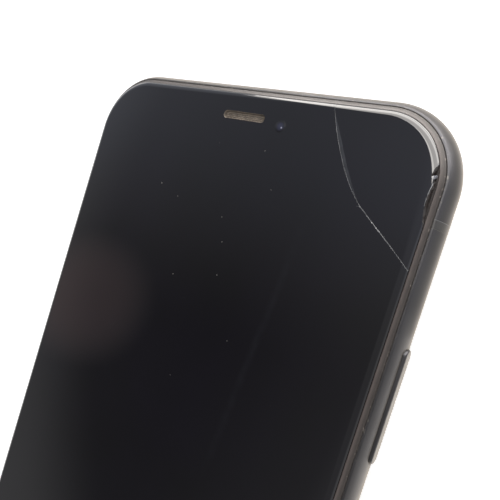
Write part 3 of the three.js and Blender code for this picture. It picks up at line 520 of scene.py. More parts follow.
@finish("cover_glass_printed")
def cover_glass_black(tree, point):
    """Polished toughened glass, printed black behind and over a display that is off: near black with a
    hard gloss that finger grease dulls in patches, and one long wiped smear."""
    tone = two_tone(tree, point, 20.0, colour("ink"), 0.7, 1.4)
    (x0, y0), (x1, y1), width, fade = SMEAR
    length = math.hypot(x1 - x0, y1 - y0)
    along = ((x1 - x0) / length, (y1 - y0) / length)
    offset = vector(tree, "SUBTRACT", point, (x0 * MM, y0 * MM, 0), "Vector")
    run = vector(tree, "DOT_PRODUCT", offset, (*along, 0), "Value")
    side = calc(tree, "ABSOLUTE", vector(tree, "DOT_PRODUCT", offset, (-along[1], along[0], 0), "Value"))
    smear = times(
        tree, band(tree, side, width * MM, 0), mottled(tree, point, 2.5, 0.1, 1.0, 5.0),
        band(tree, run, 0, fade * MM), band(tree, run, length * MM, (length - fade) * MM), 0.008,
    )
    tone = mixed(tree, smear, tone, rgba("#aab2bd"))
    return shader(tree, tone, mottled(tree, point, 16.0, 0.015, 0.06, 5.0), IOR=GLASS_IOR)


def camera_window_glass(x, y):
    """The glass over the front camera: black with a faint blue bloom and a small pale spot painted on as the
    glint of the lens.
    """

    def build(tree, point):
        def within(px, py, radius, core):
            away = vector(tree, "DISTANCE", point, (px * MM, py * MM, Z_FRONT * MM), "Value")
            return band(tree, away, radius * MM, core * MM)

        tone = mixed(tree, within(x, y, 0.95, 0.2), rgba("#050409"), rgba("#2b2c40"))
        # A small pale spot beside the middle of the window: a painted glint of the lens
        tone = mixed(tree, within(x + 0.3, y - 0.16, 0.2, 0.08), tone, rgba("#9c9cab"))
        return shader(tree, tone, mottled(tree, point, 1.0, 0.02, 0.05), IOR=GLASS_IOR)

    return made_material("camera_window_glass", build)


def fracture_glass(name, code, roughness):
    """Freshly broken glass face: slightly rough, with the ripple that a crack leaves. Edge on it scatters
    light and looks pale, and over the black print a sloping face looks dark."""

    def build(tree, point):
        ripple = add(
            tree, "ShaderNodeTexWave",
            {"Vector": point, "Scale": per_mm(2.2), "Distortion": 6.0, "Detail": 3.0},
            wave_type="BANDS", bands_direction="DIAGONAL",
        )
        bump = add(tree, "ShaderNodeBump", {
            "Height": ripple.outputs["Fac"], "Strength": 0.15, "Distance": 0.03 * MM,
        })
        tone = two_tone(tree, point, 0.8, code, 0.75, 1.25)
        return shader(tree, tone, roughness, IOR=GLASS_IOR, Normal=bump.outputs["Normal"])

    return made_material(name, build)


def broken_edge():
    """Pale broken edge."""
    return fracture_glass("fractured_glass_edge", "#a9a8a6", 0.35)


def broken_face():
    """Grey broken face, where the crack slopes through the glass."""
    return fracture_glass("fractured_glass_face", "#313236", 0.25)


def chipped_face():
    """Dark broken face, where the edge chipped off down to the print."""
    return fracture_glass("fractured_glass_chip", "#241d1a", 0.35)


def broken_flank():
    """Mid grey broken face on the side of a shard: painted light, dimmer than the painted highlight on the
    shard's pale top.
    """
    return fracture_glass("fractured_glass_flank", "#77777b", 0.3)


def black_gloss_glass(name, code, roughness=0.05):
    """Glass with a dark coating behind it: near black with a hard clear gloss and faint smears."""
    return made_material(name, lambda tree, point: shader(
        tree, rgba(code), mottled(tree, point, 12.0, roughness * 0.6, roughness * 1.6), IOR=GLASS_IOR,
    ))


def moulded_plastic(name, code, roughness=0.5):
    """Injection-moulded engineering plastic with a fine spark-eroded grain."""
    return made_material(name, lambda tree, point: shader(
        tree, two_tone(tree, point, 5.0, code, 0.85, 1.15),
        mottled(tree, point, 1.0, roughness - 0.06, roughness + 0.06),
        Normal=grain_bump(tree, point, 0.25, 0.2),
    ))


def rolled_metal(name, code, roughness=0.35):
    """Rolled or turned metal with fine marks drawn out along one way."""

    def build(tree, point):
        drawn = add(tree, "ShaderNodeMapping", {"Vector": point, "Scale": (1.0, 0.06, 1.0)}).outputs[0]
        return shader(
            tree, two_tone(tree, drawn, 0.3, code, 0.85, 1.1, 4.0),
            mottled(tree, drawn, 0.3, roughness - 0.08, roughness + 0.08, 4.0), Metallic=1.0,
        )

    return made_material(name, build)


@finish("enamelled_copper_winding")
def wound_copper(tree, point):
    """Enamelled copper strands wound flat: fine concentric rings."""
    tone = fine_rings(tree, point, (0, 2 * MM, 0), "#6b3a1d", "#c07a4a")
    return shader(tree, tone, 0.4, Metallic=1.0)


@finish("solder_mask_board")
def solder_mask(tree, point):
    """Fibreglass circuit board under dark green solder mask, with the faint lie of its tracks."""
    tracks = add(
        tree, "ShaderNodeTexBrick",
        {"Vector": point, "Scale": per_mm(1.0), "Color1": rgba("#10291c"), "Color2": rgba("#143322"),
         "Mortar": rgba("#2a4a30"), "Mortar Size": 0.06},
    )
    return shader(tree, tracks.outputs["Color"], mottled(tree, point, 2.0, 0.4, 0.55))


@finish("dust_and_crumbs")
def dust_material(tree, point):
    """House dust and glass crumbs: pale, dry and dull."""
    tone = two_tone(tree, point, 3.0, colour("dust"), 0.6, 1.25)
    return shader(tree, tone, mottled(tree, point, 0.2, 0.75, 0.95))


@finish("dusty_woven_mesh")
def mesh_wire(tree, point):
    """Woven steel wire, matt with skin dust and lint."""
    tone = two_tone(tree, point, 0.9, colour("mesh_wire"), 0.7, 1.2, 4.0)
    return shader(tree, tone, mottled(tree, point, 0.5, 0.65, 0.9), Metallic=0.25)


@finish("packed_grime")
def packed_grime(tree, point):
    """Grime packed into the gap between frame and bezel, dark enough to stand also as painted shade in the
    gap: dull dark brown, in crumbs and bare stretches.
    """
    tone = mixed(tree, mottled(tree, point, 1.2, 0, 1, 5.0), rgba("#1c1a19"), rgba("#3a3633"))
    bump = grain_bump(tree, point, 0.15, 0.4)
    return shader(tree, tone, mottled(tree, point, 0.4, 0.6, 0.9), Normal=bump)


@finish("coated_lens_glass")
def coated_lens(tree, point):
    """Small lens with an anti-reflection coating: near black with a blue bloom and a hard glint."""
    tone = mixed(tree, mottled(tree, point, 0.6, 0, 1), rgba("#242b3d"), rgba("#333c54"))
    return shader(tree, tone, mottled(tree, point, 0.4, 0.1, 0.2), IOR=GLASS_IOR)


@finish("bared_adhesive")
def adhesive(tree, point):
    """Display adhesive bared at the broken edge: dark brown and matt, picked with dust."""
    tone = two_tone(tree, point, 0.5, colour("adhesive"), 0.6, 1.3, 4.0)
    bump = grain_bump(tree, point, 0.2, 0.5)
    return shader(tree, tone, 0.6, Specular_IOR_Level=0.2, Normal=bump)


@finish("flash_lens_polycarbonate")
def flash_material(tree, point):
    """Clear polycarbonate over a yellow phosphor, moulded with fine rings."""
    low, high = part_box("flash_lens")
    middle = [-(a + b) / 2 for a, b in zip(low, high)]
    tone = fine_rings(tree, point, middle, "#e9dfae", "#f6f0d2")
    return shader(tree, tone, 0.25, Coat_Weight=1.0, Coat_Roughness=0.05)


# Geometry Nodes trees

def node_group(name, sockets):
    """An empty Geometry Nodes tree with named inputs, given as (name, kind, default)."""
    tree = bpy.data.node_groups.new(name, "GeometryNodeTree")
    tree.interface.new_socket("Geometry", in_out="OUTPUT", socket_type="NodeSocketGeometry")
    tree.interface.new_socket("Geometry", in_out="INPUT", socket_type="NodeSocketGeometry")
    for label, kind, default in sockets + [("Material", "Material", None)]:
        socket = tree.interface.new_socket(label, in_out="INPUT", socket_type="NodeSocket" + kind)
        if default is not None:
            socket.default_value = default
    return tree, add(tree, "NodeGroupInput").outputs


def group_end(tree, inputs, geometry):
    """Realizes the instances, sets the material and ends the tree."""
    real = add(tree, "GeometryNodeRealizeInstances", {"Geometry": geometry})
    dressed = add(
        tree, "GeometryNodeSetMaterial", {"Geometry": real.outputs[0], "Material": inputs["Material"]}
    )
    add(tree, "NodeGroupOutput", {0: dressed.outputs[0]})
    return tree


def grown(name, base, tree, values, smooth_angle=32):
    """A plain mesh from a base object and a tree with its inputs set."""
    modifier = base.modifiers.new("grow", "NODES")
    modifier.node_group = tree
    for item in tree.interface.items_tree:
        if item.in_out == "INPUT" and item.name in values:
            modifier[item.identifier] = values[item.name]
    return applied(base, name, smooth_angle)


def row_tree():
    """Copies of an object in a straight row."""
    tree, inputs = node_group("row_of_pieces", [
        ("Source", "Object", None), ("Count", "Int", 6),
        ("Start", "Vector", (0, 0, 0)), ("Step", "Vector", (0.002, 0, 0)),
    ])
    source = add(tree, "GeometryNodeObjectInfo", {"Object": inputs["Source"]})
    line = add(
        tree, "GeometryNodeMeshLine",
        {"Count": inputs["Count"], "Start Location": inputs["Start"], "Offset": inputs["Step"]},
    )
    row = add(
        tree, "GeometryNodeInstanceOnPoints",
        {"Points": line.outputs[0], "Instance": source.outputs["Geometry"]},
    )
    return group_end(tree, inputs, row.outputs[0])


def row(name, source, count, start, step, material):
    """A row of copies of a source, which is used up, from a start in (x, z) along the phone's width."""
    tree = bpy.data.node_groups.get("row_of_pieces") or row_tree()
    made = grown(name, mesh_object("row", [(0, 0, 0)], []), tree, {
        "Source": source, "Count": count, "Start": (start[0] * MM, 0, start[1] * MM),
        "Step": (step * MM, 0, 0), "Material": material,
    })
    delete(source)
    return made


def weave_tree():
    """A plain weave of round wires that fills a slot, joined to the rim it is held in."""
    tree, inputs = node_group("woven_mesh", [
        ("Length", "Float", 0.009), ("Width", "Float", 0.0015), ("Pitch", "Float", 0.0003),
        ("Wire", "Float", 0.00014), ("Centre", "Vector", (0, 0, 0)),
    ])

    def do(operation, one, two=0.0):
        return calc(tree, operation, one, two)

    def xyz(**values):
        return add(tree, "ShaderNodeCombineXYZ", values).outputs[0]

    def place():
        return parts(tree, add(tree, "GeometryNodeInputPosition").outputs[0])

    def chord(away):
        """Half the length of a wire across a round end."""
        rest = do("SUBTRACT", do("POWER", radius, 2), do("POWER", away, 2))
        return do("SQRT", do("MAXIMUM", rest, 0))

    radius = do("MULTIPLY", inputs["Width"], 0.5)
    reach = do("SUBTRACT", do("MULTIPLY", inputs["Length"], 0.5), radius)
    wire_profile = add(
        tree, "GeometryNodeCurvePrimitiveCircle",
        {"Resolution": 6, "Radius": do("MULTIPLY", inputs["Wire"], 0.5)},
    ).outputs[0]
    both = add(tree, "GeometryNodeJoinGeometry")
    for lengthwise in (True, False):
        half = do("MULTIPLY", inputs["Width"] if lengthwise else inputs["Length"], 0.5)
        count = do("FLOOR", do("DIVIDE", half, inputs["Pitch"]))
        axis = "Y" if lengthwise else "X"
        line = add(tree, "GeometryNodeMeshLine", {
            "Count": do("ADD", do("MULTIPLY", count, 2), 1),
            "Start Location": xyz(**{axis: do("MULTIPLY", do("MULTIPLY", count, inputs["Pitch"]), -1)}),
            "Offset": xyz(**{axis: inputs["Pitch"]}),
        })
        where = place()
        if lengthwise:
            length = do("ADD", reach, chord(where["Y"]))
        else:
            length = chord(do("MAXIMUM", do("SUBTRACT", do("ABSOLUTE", where["X"]), reach), 0))
        way = (1, 0, 0) if lengthwise else (0, 1, 0)
        strand = add(
            tree, "GeometryNodeCurvePrimitiveLine", {"Start": [-w for w in way], "End": way}
        )
        wires = add(tree, "GeometryNodeInstanceOnPoints", {
            "Points": line.outputs[0], "Instance": strand.outputs[0], "Scale": xyz(X=length, Y=length, Z=1.0),
        })
        real = add(tree, "GeometryNodeRealizeInstances", {0: wires.outputs[0]})
        fine = add(
            tree, "GeometryNodeResampleCurve",
            {"Curve": real.outputs[0], "Length": do("DIVIDE", inputs["Pitch"], 4)}, mode="LENGTH",
        )
        spot = place()
        phase = do("DIVIDE", do("ADD", spot["X"], spot["Y"]), inputs["Pitch"])
        wave = do("COSINE", do("MULTIPLY", phase, math.pi))
        lift = do("MULTIPLY", wave, do("MULTIPLY", inputs["Wire"], 0.5 if lengthwise else -0.5))
        woven = add(
            tree, "GeometryNodeSetPosition", {"Geometry": fine.outputs[0], "Offset": xyz(Z=lift)}
        )
        wires = add(
            tree, "GeometryNodeCurveToMesh",
            {"Curve": woven.outputs[0], "Profile Curve": wire_profile, "Fill Caps": True},
        )
        tree.links.new(wires.outputs[0], both.inputs[0])
    set_down = add(
        tree, "GeometryNodeTransform", {"Geometry": both.outputs[0], "Translation": inputs["Centre"]}
    )
    whole = add(tree, "GeometryNodeJoinGeometry")
    tree.links.new(set_down.outputs[0], whole.inputs[0])
    tree.links.new(inputs["Geometry"], whole.inputs[0])
    return group_end(tree, inputs, whole.outputs[0])


def crumb_tree():
    """Flattened crumbs on the points of a mesh, sized by the attribute called grain, turned at random."""
    tree, inputs = node_group("crumbs_on_points", [
        ("Seed", "Int", 7), ("Flatness", "Float", 0.6), ("Spread", "Float", 0.4),
    ])

    def random_vector(low, high):
        return add(
            tree, "FunctionNodeRandomValue", {0: low, 1: high, "Seed": inputs["Seed"]},
            data_type="FLOAT_VECTOR",
        ).outputs[0]

    def limit(operation):
        side = calc(tree, operation, 1.0, inputs["Spread"])
        return add(tree, "ShaderNodeCombineXYZ", {0: side, 1: side, 2: inputs["Flatness"]}).outputs[0]

    crumb = add(tree, "GeometryNodeMeshIcoSphere", {"Radius": 0.5, "Subdivisions": 1})
    grain = add(tree, "GeometryNodeInputNamedAttribute", {"Name": "grain"}, data_type="FLOAT").outputs[0]
    shape = random_vector(limit("SUBTRACT"), limit("ADD"))
    scale = add(tree, "ShaderNodeVectorMath", {0: shape, "Scale": grain}, operation="SCALE").outputs[0]
    spread = add(tree, "GeometryNodeInstanceOnPoints", {
        "Points": inputs["Geometry"], "Instance": crumb.outputs[0],
        "Rotation": random_vector((-0.25, -0.25, 0), (0.25, 0.25, 6.283)), "Scale": scale,
    })
    return group_end(tree, inputs, spread.outputs[0])


def crumbs(name, spots, material, flatness=0.6, spread=0.4):
    """Crumbs at (x, y, z, grain) spots in millimetres as one plain mesh."""
    base = mesh_object(name + "_spots", [s[:3] for s in spots], [], (), 0)
    grain = base.data.attributes.new("grain", "FLOAT", "POINT")
    grain.data.foreach_set("value", [s[3] * MM for s in spots])
    tree = bpy.data.node_groups.get("crumbs_on_points") or crumb_tree()
    return grown(name, base, tree, {
        "Seed": bpy.context.scene.phone_sizes.dust_seed,
        "Flatness": flatness, "Spread": spread, "Material": material,
    }, 0)


# Heights and insets that follow the CAD solids, in millimetres

BACK_RIM, FRONT_RIM = node_span("frame", 2)
SIDE_MIDDLE = (Z_BACK + Z_FRONT) / 2
LEDGE = 7.0
LIP = (1.75, 2.2)
LIP_INSET = 4.4
DISPLAY_POCKET = 1.451
BACK_POCKET = 2.335
BACK_EDGE = 2.435
BEZEL_FOOT, BEZEL_TOP = node_span("display_bezel", 2)
BEZEL_OUTER = 1.571
GLASS_EDGE = 2.391
GLASS_FOOT = node_span("cover_glass", 2)[0]
GLASS_SEAT = GLASS_FOOT - 0.05
STRIP_SPAN = (57.8, 59.1)
STRIP_DEPTH = 1.2
STRIP_FIT = 0.006
# Where the side starts to round over into the front rim, and the point that the rounding turns about
RIM_BLEND = 7.864
RIM_TURN = (1.175, 7.946)
# Small chamfers at the front and back pocket
FRONT_CHAMFER = 0.02
BACK_CHAMFER = 0.04

# The buttons: side, place along the phone, length, and half the pitch of the stems
BUTTONS = {
    "side_button": (1, 32.05, 17.4, 4.5),
    "volume_up_button": (-1, 28.25, 10.4, 2.3),
    "volume_down_button": (-1, 14.05, 10.4, 2.3),
}
BUTTON_HEIGHT = node_span("side_button", 2)[1] - node_span("side_button", 2)[0]
# Gap round a button, both sides together, depth of its pocket, and radius of its stems and their holes
BUTTON_GAP = 0.2
POCKET_DEPTH = 1.55
STEM = 0.8
STEM_HOLE = 0.9
STEM_END = 3.4
# A button's cap: how deep it starts, how far its side stands out, and the radius and steps of its edge
CAP_FOOT = 1.1
CAP_STAND = 0.1
CAP_ROUND = (0.3, 6)
# The switch: place along the phone, its recess and the slot of its lever
SWITCH_Y = 41.85
SWITCH_RECESS = (6.0, 2.8, 0.75)
RECESS_DEPTH = 0.75
LEVER_SLOT = (2.2, 2.2)
# The switch's lever: how deep it starts, the radius and steps of its edge, and its stem
LEVER_FOOT = 0.65
LEVER_ROUND = (0.15, 4)
LEVER_STEM = (2.0, 0.9, 0.3)
# The tray: place along the phone, its slot, cap, plate and bed, and its pin hole as radius, steps and shift
TRAY_Y = -9.55
TRAY_SLOT = (15.3, 2.0)
TRAY_CAP = (15.2, 1.9)
TRAY_PLATE = (13.6, 1.1, 0.2)
TRAY_BED = (8.8, 12.3, 1.6)
PIN_HOLE = (0.45, 24, 6.65)
# Depth of the tray's cap and of the end of its plate, and where its bed has its middle and its floor
CAP_DEPTH = 1.31
PLATE_END = 1.2
BED_MIDDLE = 6.7
BED_FLOOR = 0.15
# The hole for the charging port in the bottom end
PORT_HOLE = (8.8, 3.7)
# How far cutters reach: out past a surface, and in through the whole wall
PAST = 1
THROUGH = 4
# Rows of holes in the bottom end: middle, pitch, count, and the radius, steps, inner and outer depth
HOLE_ROWS = (
    (0, 16.4, 2, 1.05, 32, 0.85, -PAST),
    (0, 16.4, 2, 0.65, 32, THROUGH, 0.5),
    (16.825, 2.2, 6, 0.7, 24, THROUGH, -PAST),
    (-16.825, 2.2, 6, 0.7, 24, THROUGH, -PAST),
)


def side_inset(z):
    """How far the rounded side stands in from the plan outline at a height."""
    middle = (size("z_front") + size("z_back")) / 2
    radius = (size("z_front") - size("z_back")) / 2
    return radius - math.sqrt(max(0, radius ** 2 - (z - middle) ** 2))


def arc_heights(low, high, count):
    """Heights along the rounded side, evenly spaced round its arc."""
    radius = (size("z_front") - size("z_back")) / 2
    turns = [math.asin((z - SIDE_MIDDLE) / radius) for z in (low, high)]
    return [
        SIDE_MIDDLE + radius * math.sin(turns[0] + (turns[1] - turns[0]) * i / (count - 1))
        for i in range(count)
    ]


def outer_profile():
    """The outer profile of the frame from the back rim round to the display ledge, as (inset, height)."""
    profile = [(side_inset(z), z) for z in arc_heights(BACK_RIM, RIM_BLEND, 45)]
    start, middle, stop = profile[-1], RIM_TURN, (DISPLAY_POCKET - FRONT_CHAMFER, FRONT_RIM)
    for i in range(1, 9):
        t = i / 8
        profile.append(tuple(
            a * (1 - t) ** 2 + 2 * b * t * (1 - t) + c * t ** 2 for a, b, c in zip(start, middle, stop)
        ))
    return profile + [(DISPLAY_POCKET, FRONT_RIM - FRONT_CHAMFER), (DISPLAY_POCKET, LEDGE)]


def strip_groove(side, low, high, material):
    """The cutter for an antenna strip, which follows the rounded side."""
    half = size("width") / 2
    over = 0.4
    heights = arc_heights(BACK_RIM, FRONT_RIM, 25)
    outer = [(side * (half - side_inset(z) + over), z) for z in heights]
    inner = [(side * (half - side_inset(z) - STRIP_DEPTH - 0.05), z) for z in reversed(heights)]
    outline = [(outer[0][0], BACK_RIM - over), *outer, (outer[-1][0], FRONT_RIM + over)]
    outline += [(inner[0][0], FRONT_RIM + over), *inner, (inner[-1][0], BACK_RIM - over)]
    return extruded("groove", outline, low - STRIP_FIT, high + STRIP_FIT, (material,))


class PHONE_OT_frame(bpy.types.Operator):
    """Builds the aluminium frame with its pockets, holes and antenna grooves"""

    bl_idname = "phone.frame"
    bl_label = "Frame"

    def execute(self, context):
        metal = anodised_aluminium()
        half, end, wall = size("width") / 2, size("length") / 2, size("wall")
        body = swept("frame_fine", outer_profile() + [
            (wall, LEDGE), (wall, LIP[1]), (LIP_INSET, LIP[1]), (LIP_INSET, LIP[0]), (BACK_POCKET, LIP[0]),
            (BACK_POCKET, BACK_RIM + BACK_CHAMFER), (BACK_POCKET - BACK_CHAMFER, BACK_RIM),
        ], (metal,))
        cutters = []
        for side in (1, -1):
            for low, high in (STRIP_SPAN, (-STRIP_SPAN[1], -STRIP_SPAN[0])):
                cutters.append(strip_groove(side, low, high, metal))
        for side, y, length, stem in BUTTONS.values():
            place = on_side(side, y, SIDE_MIDDLE)
            pocket = slot_ring(length + BUTTON_GAP, BUTTON_HEIGHT + BUTTON_GAP)
            cutters.append(bore(pocket, half - POCKET_DEPTH, half + PAST, place, metal))
            for offset in (stem, -stem):
                hole = circle_ring(STEM_HOLE, 20, offset)
                cutters.append(bore(hole, half - THROUGH, half - 1.3, place, metal))
        switch, tray = on_side(-1, SWITCH_Y, SIDE_MIDDLE), on_side(1, TRAY_Y, SIDE_MIDDLE)
        bottom = on_bottom(0, SIDE_MIDDLE)
        cutters += [
            bore(corner_ring(*SWITCH_RECESS), half - RECESS_DEPTH, half + PAST, switch, metal),
            bore(slot_ring(*LEVER_SLOT), half - THROUGH, half - 0.6, switch, metal),
            bore(slot_ring(*TRAY_SLOT), half - THROUGH, half + PAST, tray, metal),
            bore(slot_ring(*PORT_HOLE), end - THROUGH, end + PAST, bottom, metal),
        ]
        for middle, pitch, count, radius, steps, inner, outer in HOLE_ROWS:
            hole = bore(circle_ring(radius, steps), end - inner, end - outer, bottom, metal)
            first = middle - pitch * (count - 1) / 2
            cutters.append(row("holes", hole, count, (first, 0), pitch, metal))
        stands_for(carved(body, cutters), "anodised_aluminium", "frame")
        return {"FINISHED"}


class PHONE_OT_antenna_strips(bpy.types.Operator):
    """Builds the four plastic strips that part the frame"""

    bl_idname = "phone.antenna_strips"
    bl_label = "Antenna strips"

    def execute(self, context):
        half = size("width") / 2
        inner = [(side_inset(z) + STRIP_DEPTH, z) for z in arc_heights(LIP[0], LEDGE, 25)]
        outline = outer_profile() + [*reversed(inner), (BACK_POCKET, LIP[0]), (BACK_POCKET, BACK_RIM)]
        for node in [n for n in NODES if n.startswith("antenna_strip")]:
            low, high = node_box(node)
            side = 1 if low.x > 0 else -1
            turned_out = [(side * (half - inset), z) for inset, z in outline]
            strip = extruded(node + "_fine", turned_out, low.y, high.y, (antenna_plastic(),))
            stands_for(strip, "antenna_plastic", node)
        return {"FINISHED"}


class PHONE_OT_buttons(bpy.types.Operator):
    """Builds the pressed buttons and the lever of the silent switch"""

    bl_idname = "phone.buttons"
    bl_label = "Buttons"

    def execute(self, context):
        metal = anodised_aluminium()
        half = size("width") / 2
        stem_end = half - STEM_END
        for node, (side, y, length, stem) in BUTTONS.items():
            place = on_side(side, y, SIDE_MIDDLE)

            def cap_ring(inset):
                return slot_ring(length, BUTTON_HEIGHT, inset, 12)

            cap = [(cap_ring(0), half - CAP_FOOT), *rounded_top(cap_ring, half + CAP_STAND, *CAP_ROUND)]
            cap = post(node + "_fine", cap, place, (metal,))
            stems = [
                bore(circle_ring(STEM, 20, offset), stem_end, half - 1.0, place, metal)
                for offset in (stem, -stem)
            ]
            stands_for(carved(cap, stems, "UNION"), "anodised_aluminium", node, body=node)

        low, high = node_box("silent_switch_lever")
        length, height = high.y - low.y, high.z - low.z
        place = on_side(-1, (low.y + high.y) / 2, (low.z + high.z) / 2)

        def lever_ring(inset):
            return slot_ring(length, height, inset)

        lever = [(lever_ring(0), half - LEVER_FOOT), *rounded_top(lever_ring, half, *LEVER_ROUND)]
        lever = post("silent_switch_lever_fine", lever, place, (metal,))
        foot = bore(corner_ring(*LEVER_STEM), stem_end, half - 0.5, place, metal)
        body = NODES["silent_switch_lever"]["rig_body"]
        stands_for(carved(lever, [foot], "UNION"), "anodised_aluminium", "silent_switch_lever", body=body)
        return {"FINISHED"}


class PHONE_OT_card_tray(bpy.types.Operator):
    """Builds the card tray with its flush cap and eject hole"""

    bl_idname = "phone.card_tray"
    bl_label = "Card tray"

    def execute(self, context):
        metal = anodised_aluminium()
        half = size("width") / 2
        inner = node_span("card_tray", 0)[0]
        place = on_side(1, TRAY_Y, SIDE_MIDDLE)
        bed, bed_floor = upright(inner + BED_MIDDLE, TRAY_Y), SIDE_MIDDLE - BED_FLOOR
        # The cap is cut from the phone's whole rounded form, so that it lies flush
        form = [plan_ring(side_inset(z), z) for z in arc_heights(BACK_RIM, FRONT_RIM, 45)]
        tray = solid("card_tray_fine", form, (metal,))
        cap = bore(slot_ring(*TRAY_CAP, 0, 12), half - CAP_DEPTH, half + PAST, place, metal)
        tray = carved(tray, [cap], "INTERSECT")
        plate = bore(corner_ring(*TRAY_PLATE), inner, half - PLATE_END, place, metal)
        tray = carved(tray, [plate], "UNION")
        tray = carved(tray, [
            bore(circle_ring(*PIN_HOLE), half - PLATE_END, half + PAST, place, metal),
            bore(corner_ring(*TRAY_BED), bed_floor, bed_floor + 2, bed, metal),
        ])
        stands_for(tray, "anodised_aluminium", "card_tray", body="card_tray")
        return {"FINISHED"}


# The display

# The crack on the face of the glass: place, half the width of its pale lip, and width of the dark
# face that slopes down to it from the corner side
CRACK = [
    (15.4, 75.2, 0.012, 0.0), (15.95, 73.9, 0.012, 0.0), (16.35, 72.86, 0.016, 0.0),
    (16.59, 72.24, 0.02, 0.0), (16.97, 71.33, 0.02, 0.06), (17.52, 70.13, 0.022, 0.22),
    (18.11, 68.93, 0.022, 0.38), (18.89, 67.46, 0.02, 0.5), (19.71, 66.0, 0.022, 0.54),
    (20.58, 64.57, 0.022, 0.54), (21.51, 63.16, 0.024, 0.5), (22.52, 61.79, 0.028, 0.44),
    (23.39, 60.72, 0.024, 0.33), (24.35, 59.67, 0.022, 0.2), (25.13, 58.91, 0.026, 0.08),
    (25.83, 58.3, 0.04, 0.0), (26.81, 57.6, 0.036, 0.0), (28.23, 56.56, 0.046, 0.0),
    (29.81, 55.44, 0.05, 0.0), (31.36, 54.34, 0.042, 0.0), (32.86, 53.25, 0.034, 0.0),
    (34.29, 52.18, 0.032, 0.0), (35.36, 51.32, 0.03, 0.0), (36.12, 50.68, 0.026, 0.0),
]
CRACK_DEPTH = 0.06
# How far a groove's cutter stands over the face of the glass
GROOVE_OVER = 0.03
# A short side branch of the crack: place and half the width of its lip
SPUR = [(26.1, 58.12, 0.04), (25.85, 58.24, 0.032), (25.55, 58.32, 0.024), (25.2, 58.3, 0.016)]
SPUR_NORMAL = (0.1, 0.995, 0)
# The edge of the glass that broke away beside the corner, on its face
CHIP = [
    (36.6, 66.9), (35.6, 66.7), (35.05, 66.45), (34.72, 66.1), (34.55, 65.5), (34.47, 65.0), (34.44, 64.7),
    (34.5, 64.4), (34.7, 64.2), (34.98, 64.0), (35.0, 63.35), (34.88, 62.6), (34.82, 61.9), (34.8, 61.2),
    (34.83, 60.5), (34.94, 59.6), (35.08, 58.7), (35.26, 57.8), (35.48, 56.9), (36.6, 56.3),
]
CHIP_SLOPE = 0.35
# The stretch of the chip's edge that has a pale lip, which widens along it towards the corner: a broken edge,
# widened there as a painted highlight
CHIP_LIP_SPAN = (60.2, 63.9)
CHIP_LIP = 0.012
# Slope of the glass where its rounded run meets the stood edge
EDGE_TILT = math.radians(47)
# The earpiece slot in the glass, its shift from the mesh, and the radius of the camera's window
EARPIECE_SLOT = (8.9, 1.42)
SLOT_SHIFT = (-0.2, 0.16)
WINDOW = 0.95
# The face of the bezel from its outer edge up to its lip, as (inset, height)
BEZEL_FACE = [
    (BEZEL_OUTER, 8.04), (BEZEL_OUTER + 0.015, 8.08), (BEZEL_OUTER + 0.05, 8.11), (1.9, 8.31),
    (2.18, 8.475), (2.23, 8.505), (2.28, BEZEL_TOP),
]
# The grime in the gap beside the bezel, also standing as painted shade in the gap: its foot and its top
GRIME_AND_GAP_SHADE = (7.4, 7.9)
# The shard left beside the chip and its flank: the corners of their upper faces. The shard's top is painted
# pale as a highlight and its flank a dimmer grey
SHARD = [(34.54, 63.78, 9.14), (34.85, 64.28, 9.0), (34.74, 64.73, 9.05), (34.48, 64.56, 9.14)]
SHARD_FLANK = [(34.86, 64.27, 9.0), (35.1, 64.59, 8.8), (35.11, 64.9, 8.85), (34.75, 64.73, 9.05)]
# The bared adhesive: where it starts along the edge, its row spacing and its number of rows
ADHESIVE_ROWS = (67.0, 0.27, 41)
# Crumbs lie along the crack up to this place; the share of steps that has one
CRUMB_LIMIT = (34.5, 62.5)
CRUMB_SHARE = 0.12


def inset_x(inset, y):
    """Where the plan outline, moved inwards, crosses a place along the phone on its right side."""
    radius = size("corner_radius")
    along = y - (size("length") / 2 - radius)
    if along <= 0:
        return size("width") / 2 - inset
    return size("width") / 2 - radius + math.sqrt(max(0, (radius - inset) ** 2 - along ** 2))


def edge_bend():
    """Radius of the rounded run of the glass."""
    return size("glass_run") / math.sin(EDGE_TILT)


def face_height(x, y):
    """Height of the face of the glass over a plan place, rounded off towards its edge."""
    radius = size("corner_radius")
    across = max(0, abs(x) - size("width") / 2 + radius)
    along = max(0, abs(y) - size("length") / 2 + radius)
    inset = radius - math.hypot(across, along)
    past = min(size("glass_run"), max(0, GLASS_EDGE + size("glass_run") - inset))
    return Z_FRONT - edge_bend() + math.sqrt(edge_bend() ** 2 - past ** 2)


def smooth_path(rows, step):
    """Rows of numbers joined by a smooth curve in short steps; the first two numbers are the place."""
    rows = [rows[0], *rows, rows[-1]]
    path = []
    for before, start, stop, after in zip(rows, rows[1:], rows[2:], rows[3:]):
        count = max(1, round(math.dist(start[:2], stop[:2]) / step))
        for i in range(count):
            t = i / count
            path.append([
                0.5 * (
                    2 * b + (c - a) * t + (2 * a - 5 * b + 4 * c - d) * t ** 2
                    + (3 * b - a - 3 * c + d) * t ** 3
                )
                for a, b, c, d in zip(before, start, stop, after)
            ])
    path.append(list(rows[-2]))
    return path


def crack_line(step=0.2):
    """The crack in short ragged steps: point, unit vector to the corner side, lip and face width."""
    shake = shaker()
    path = smooth_path(CRACK, step)
    line = []
    for i, (x, y, lip, face) in enumerate(path):
        x0, y0 = path[max(0, i - 1)][:2]
        x1, y1 = path[min(len(path) - 1, i + 1)][:2]
        normal = Vector((y0 - y1, x1 - x0, 0)).normalized()
        ragged = Vector((x, y, 0)) + normal * shake.uniform(-0.35, 0.35) * lip
        line.append((ragged, normal, max(0.01, lip * shake.uniform(0.75, 1.25)), max(0, face)))
    return line


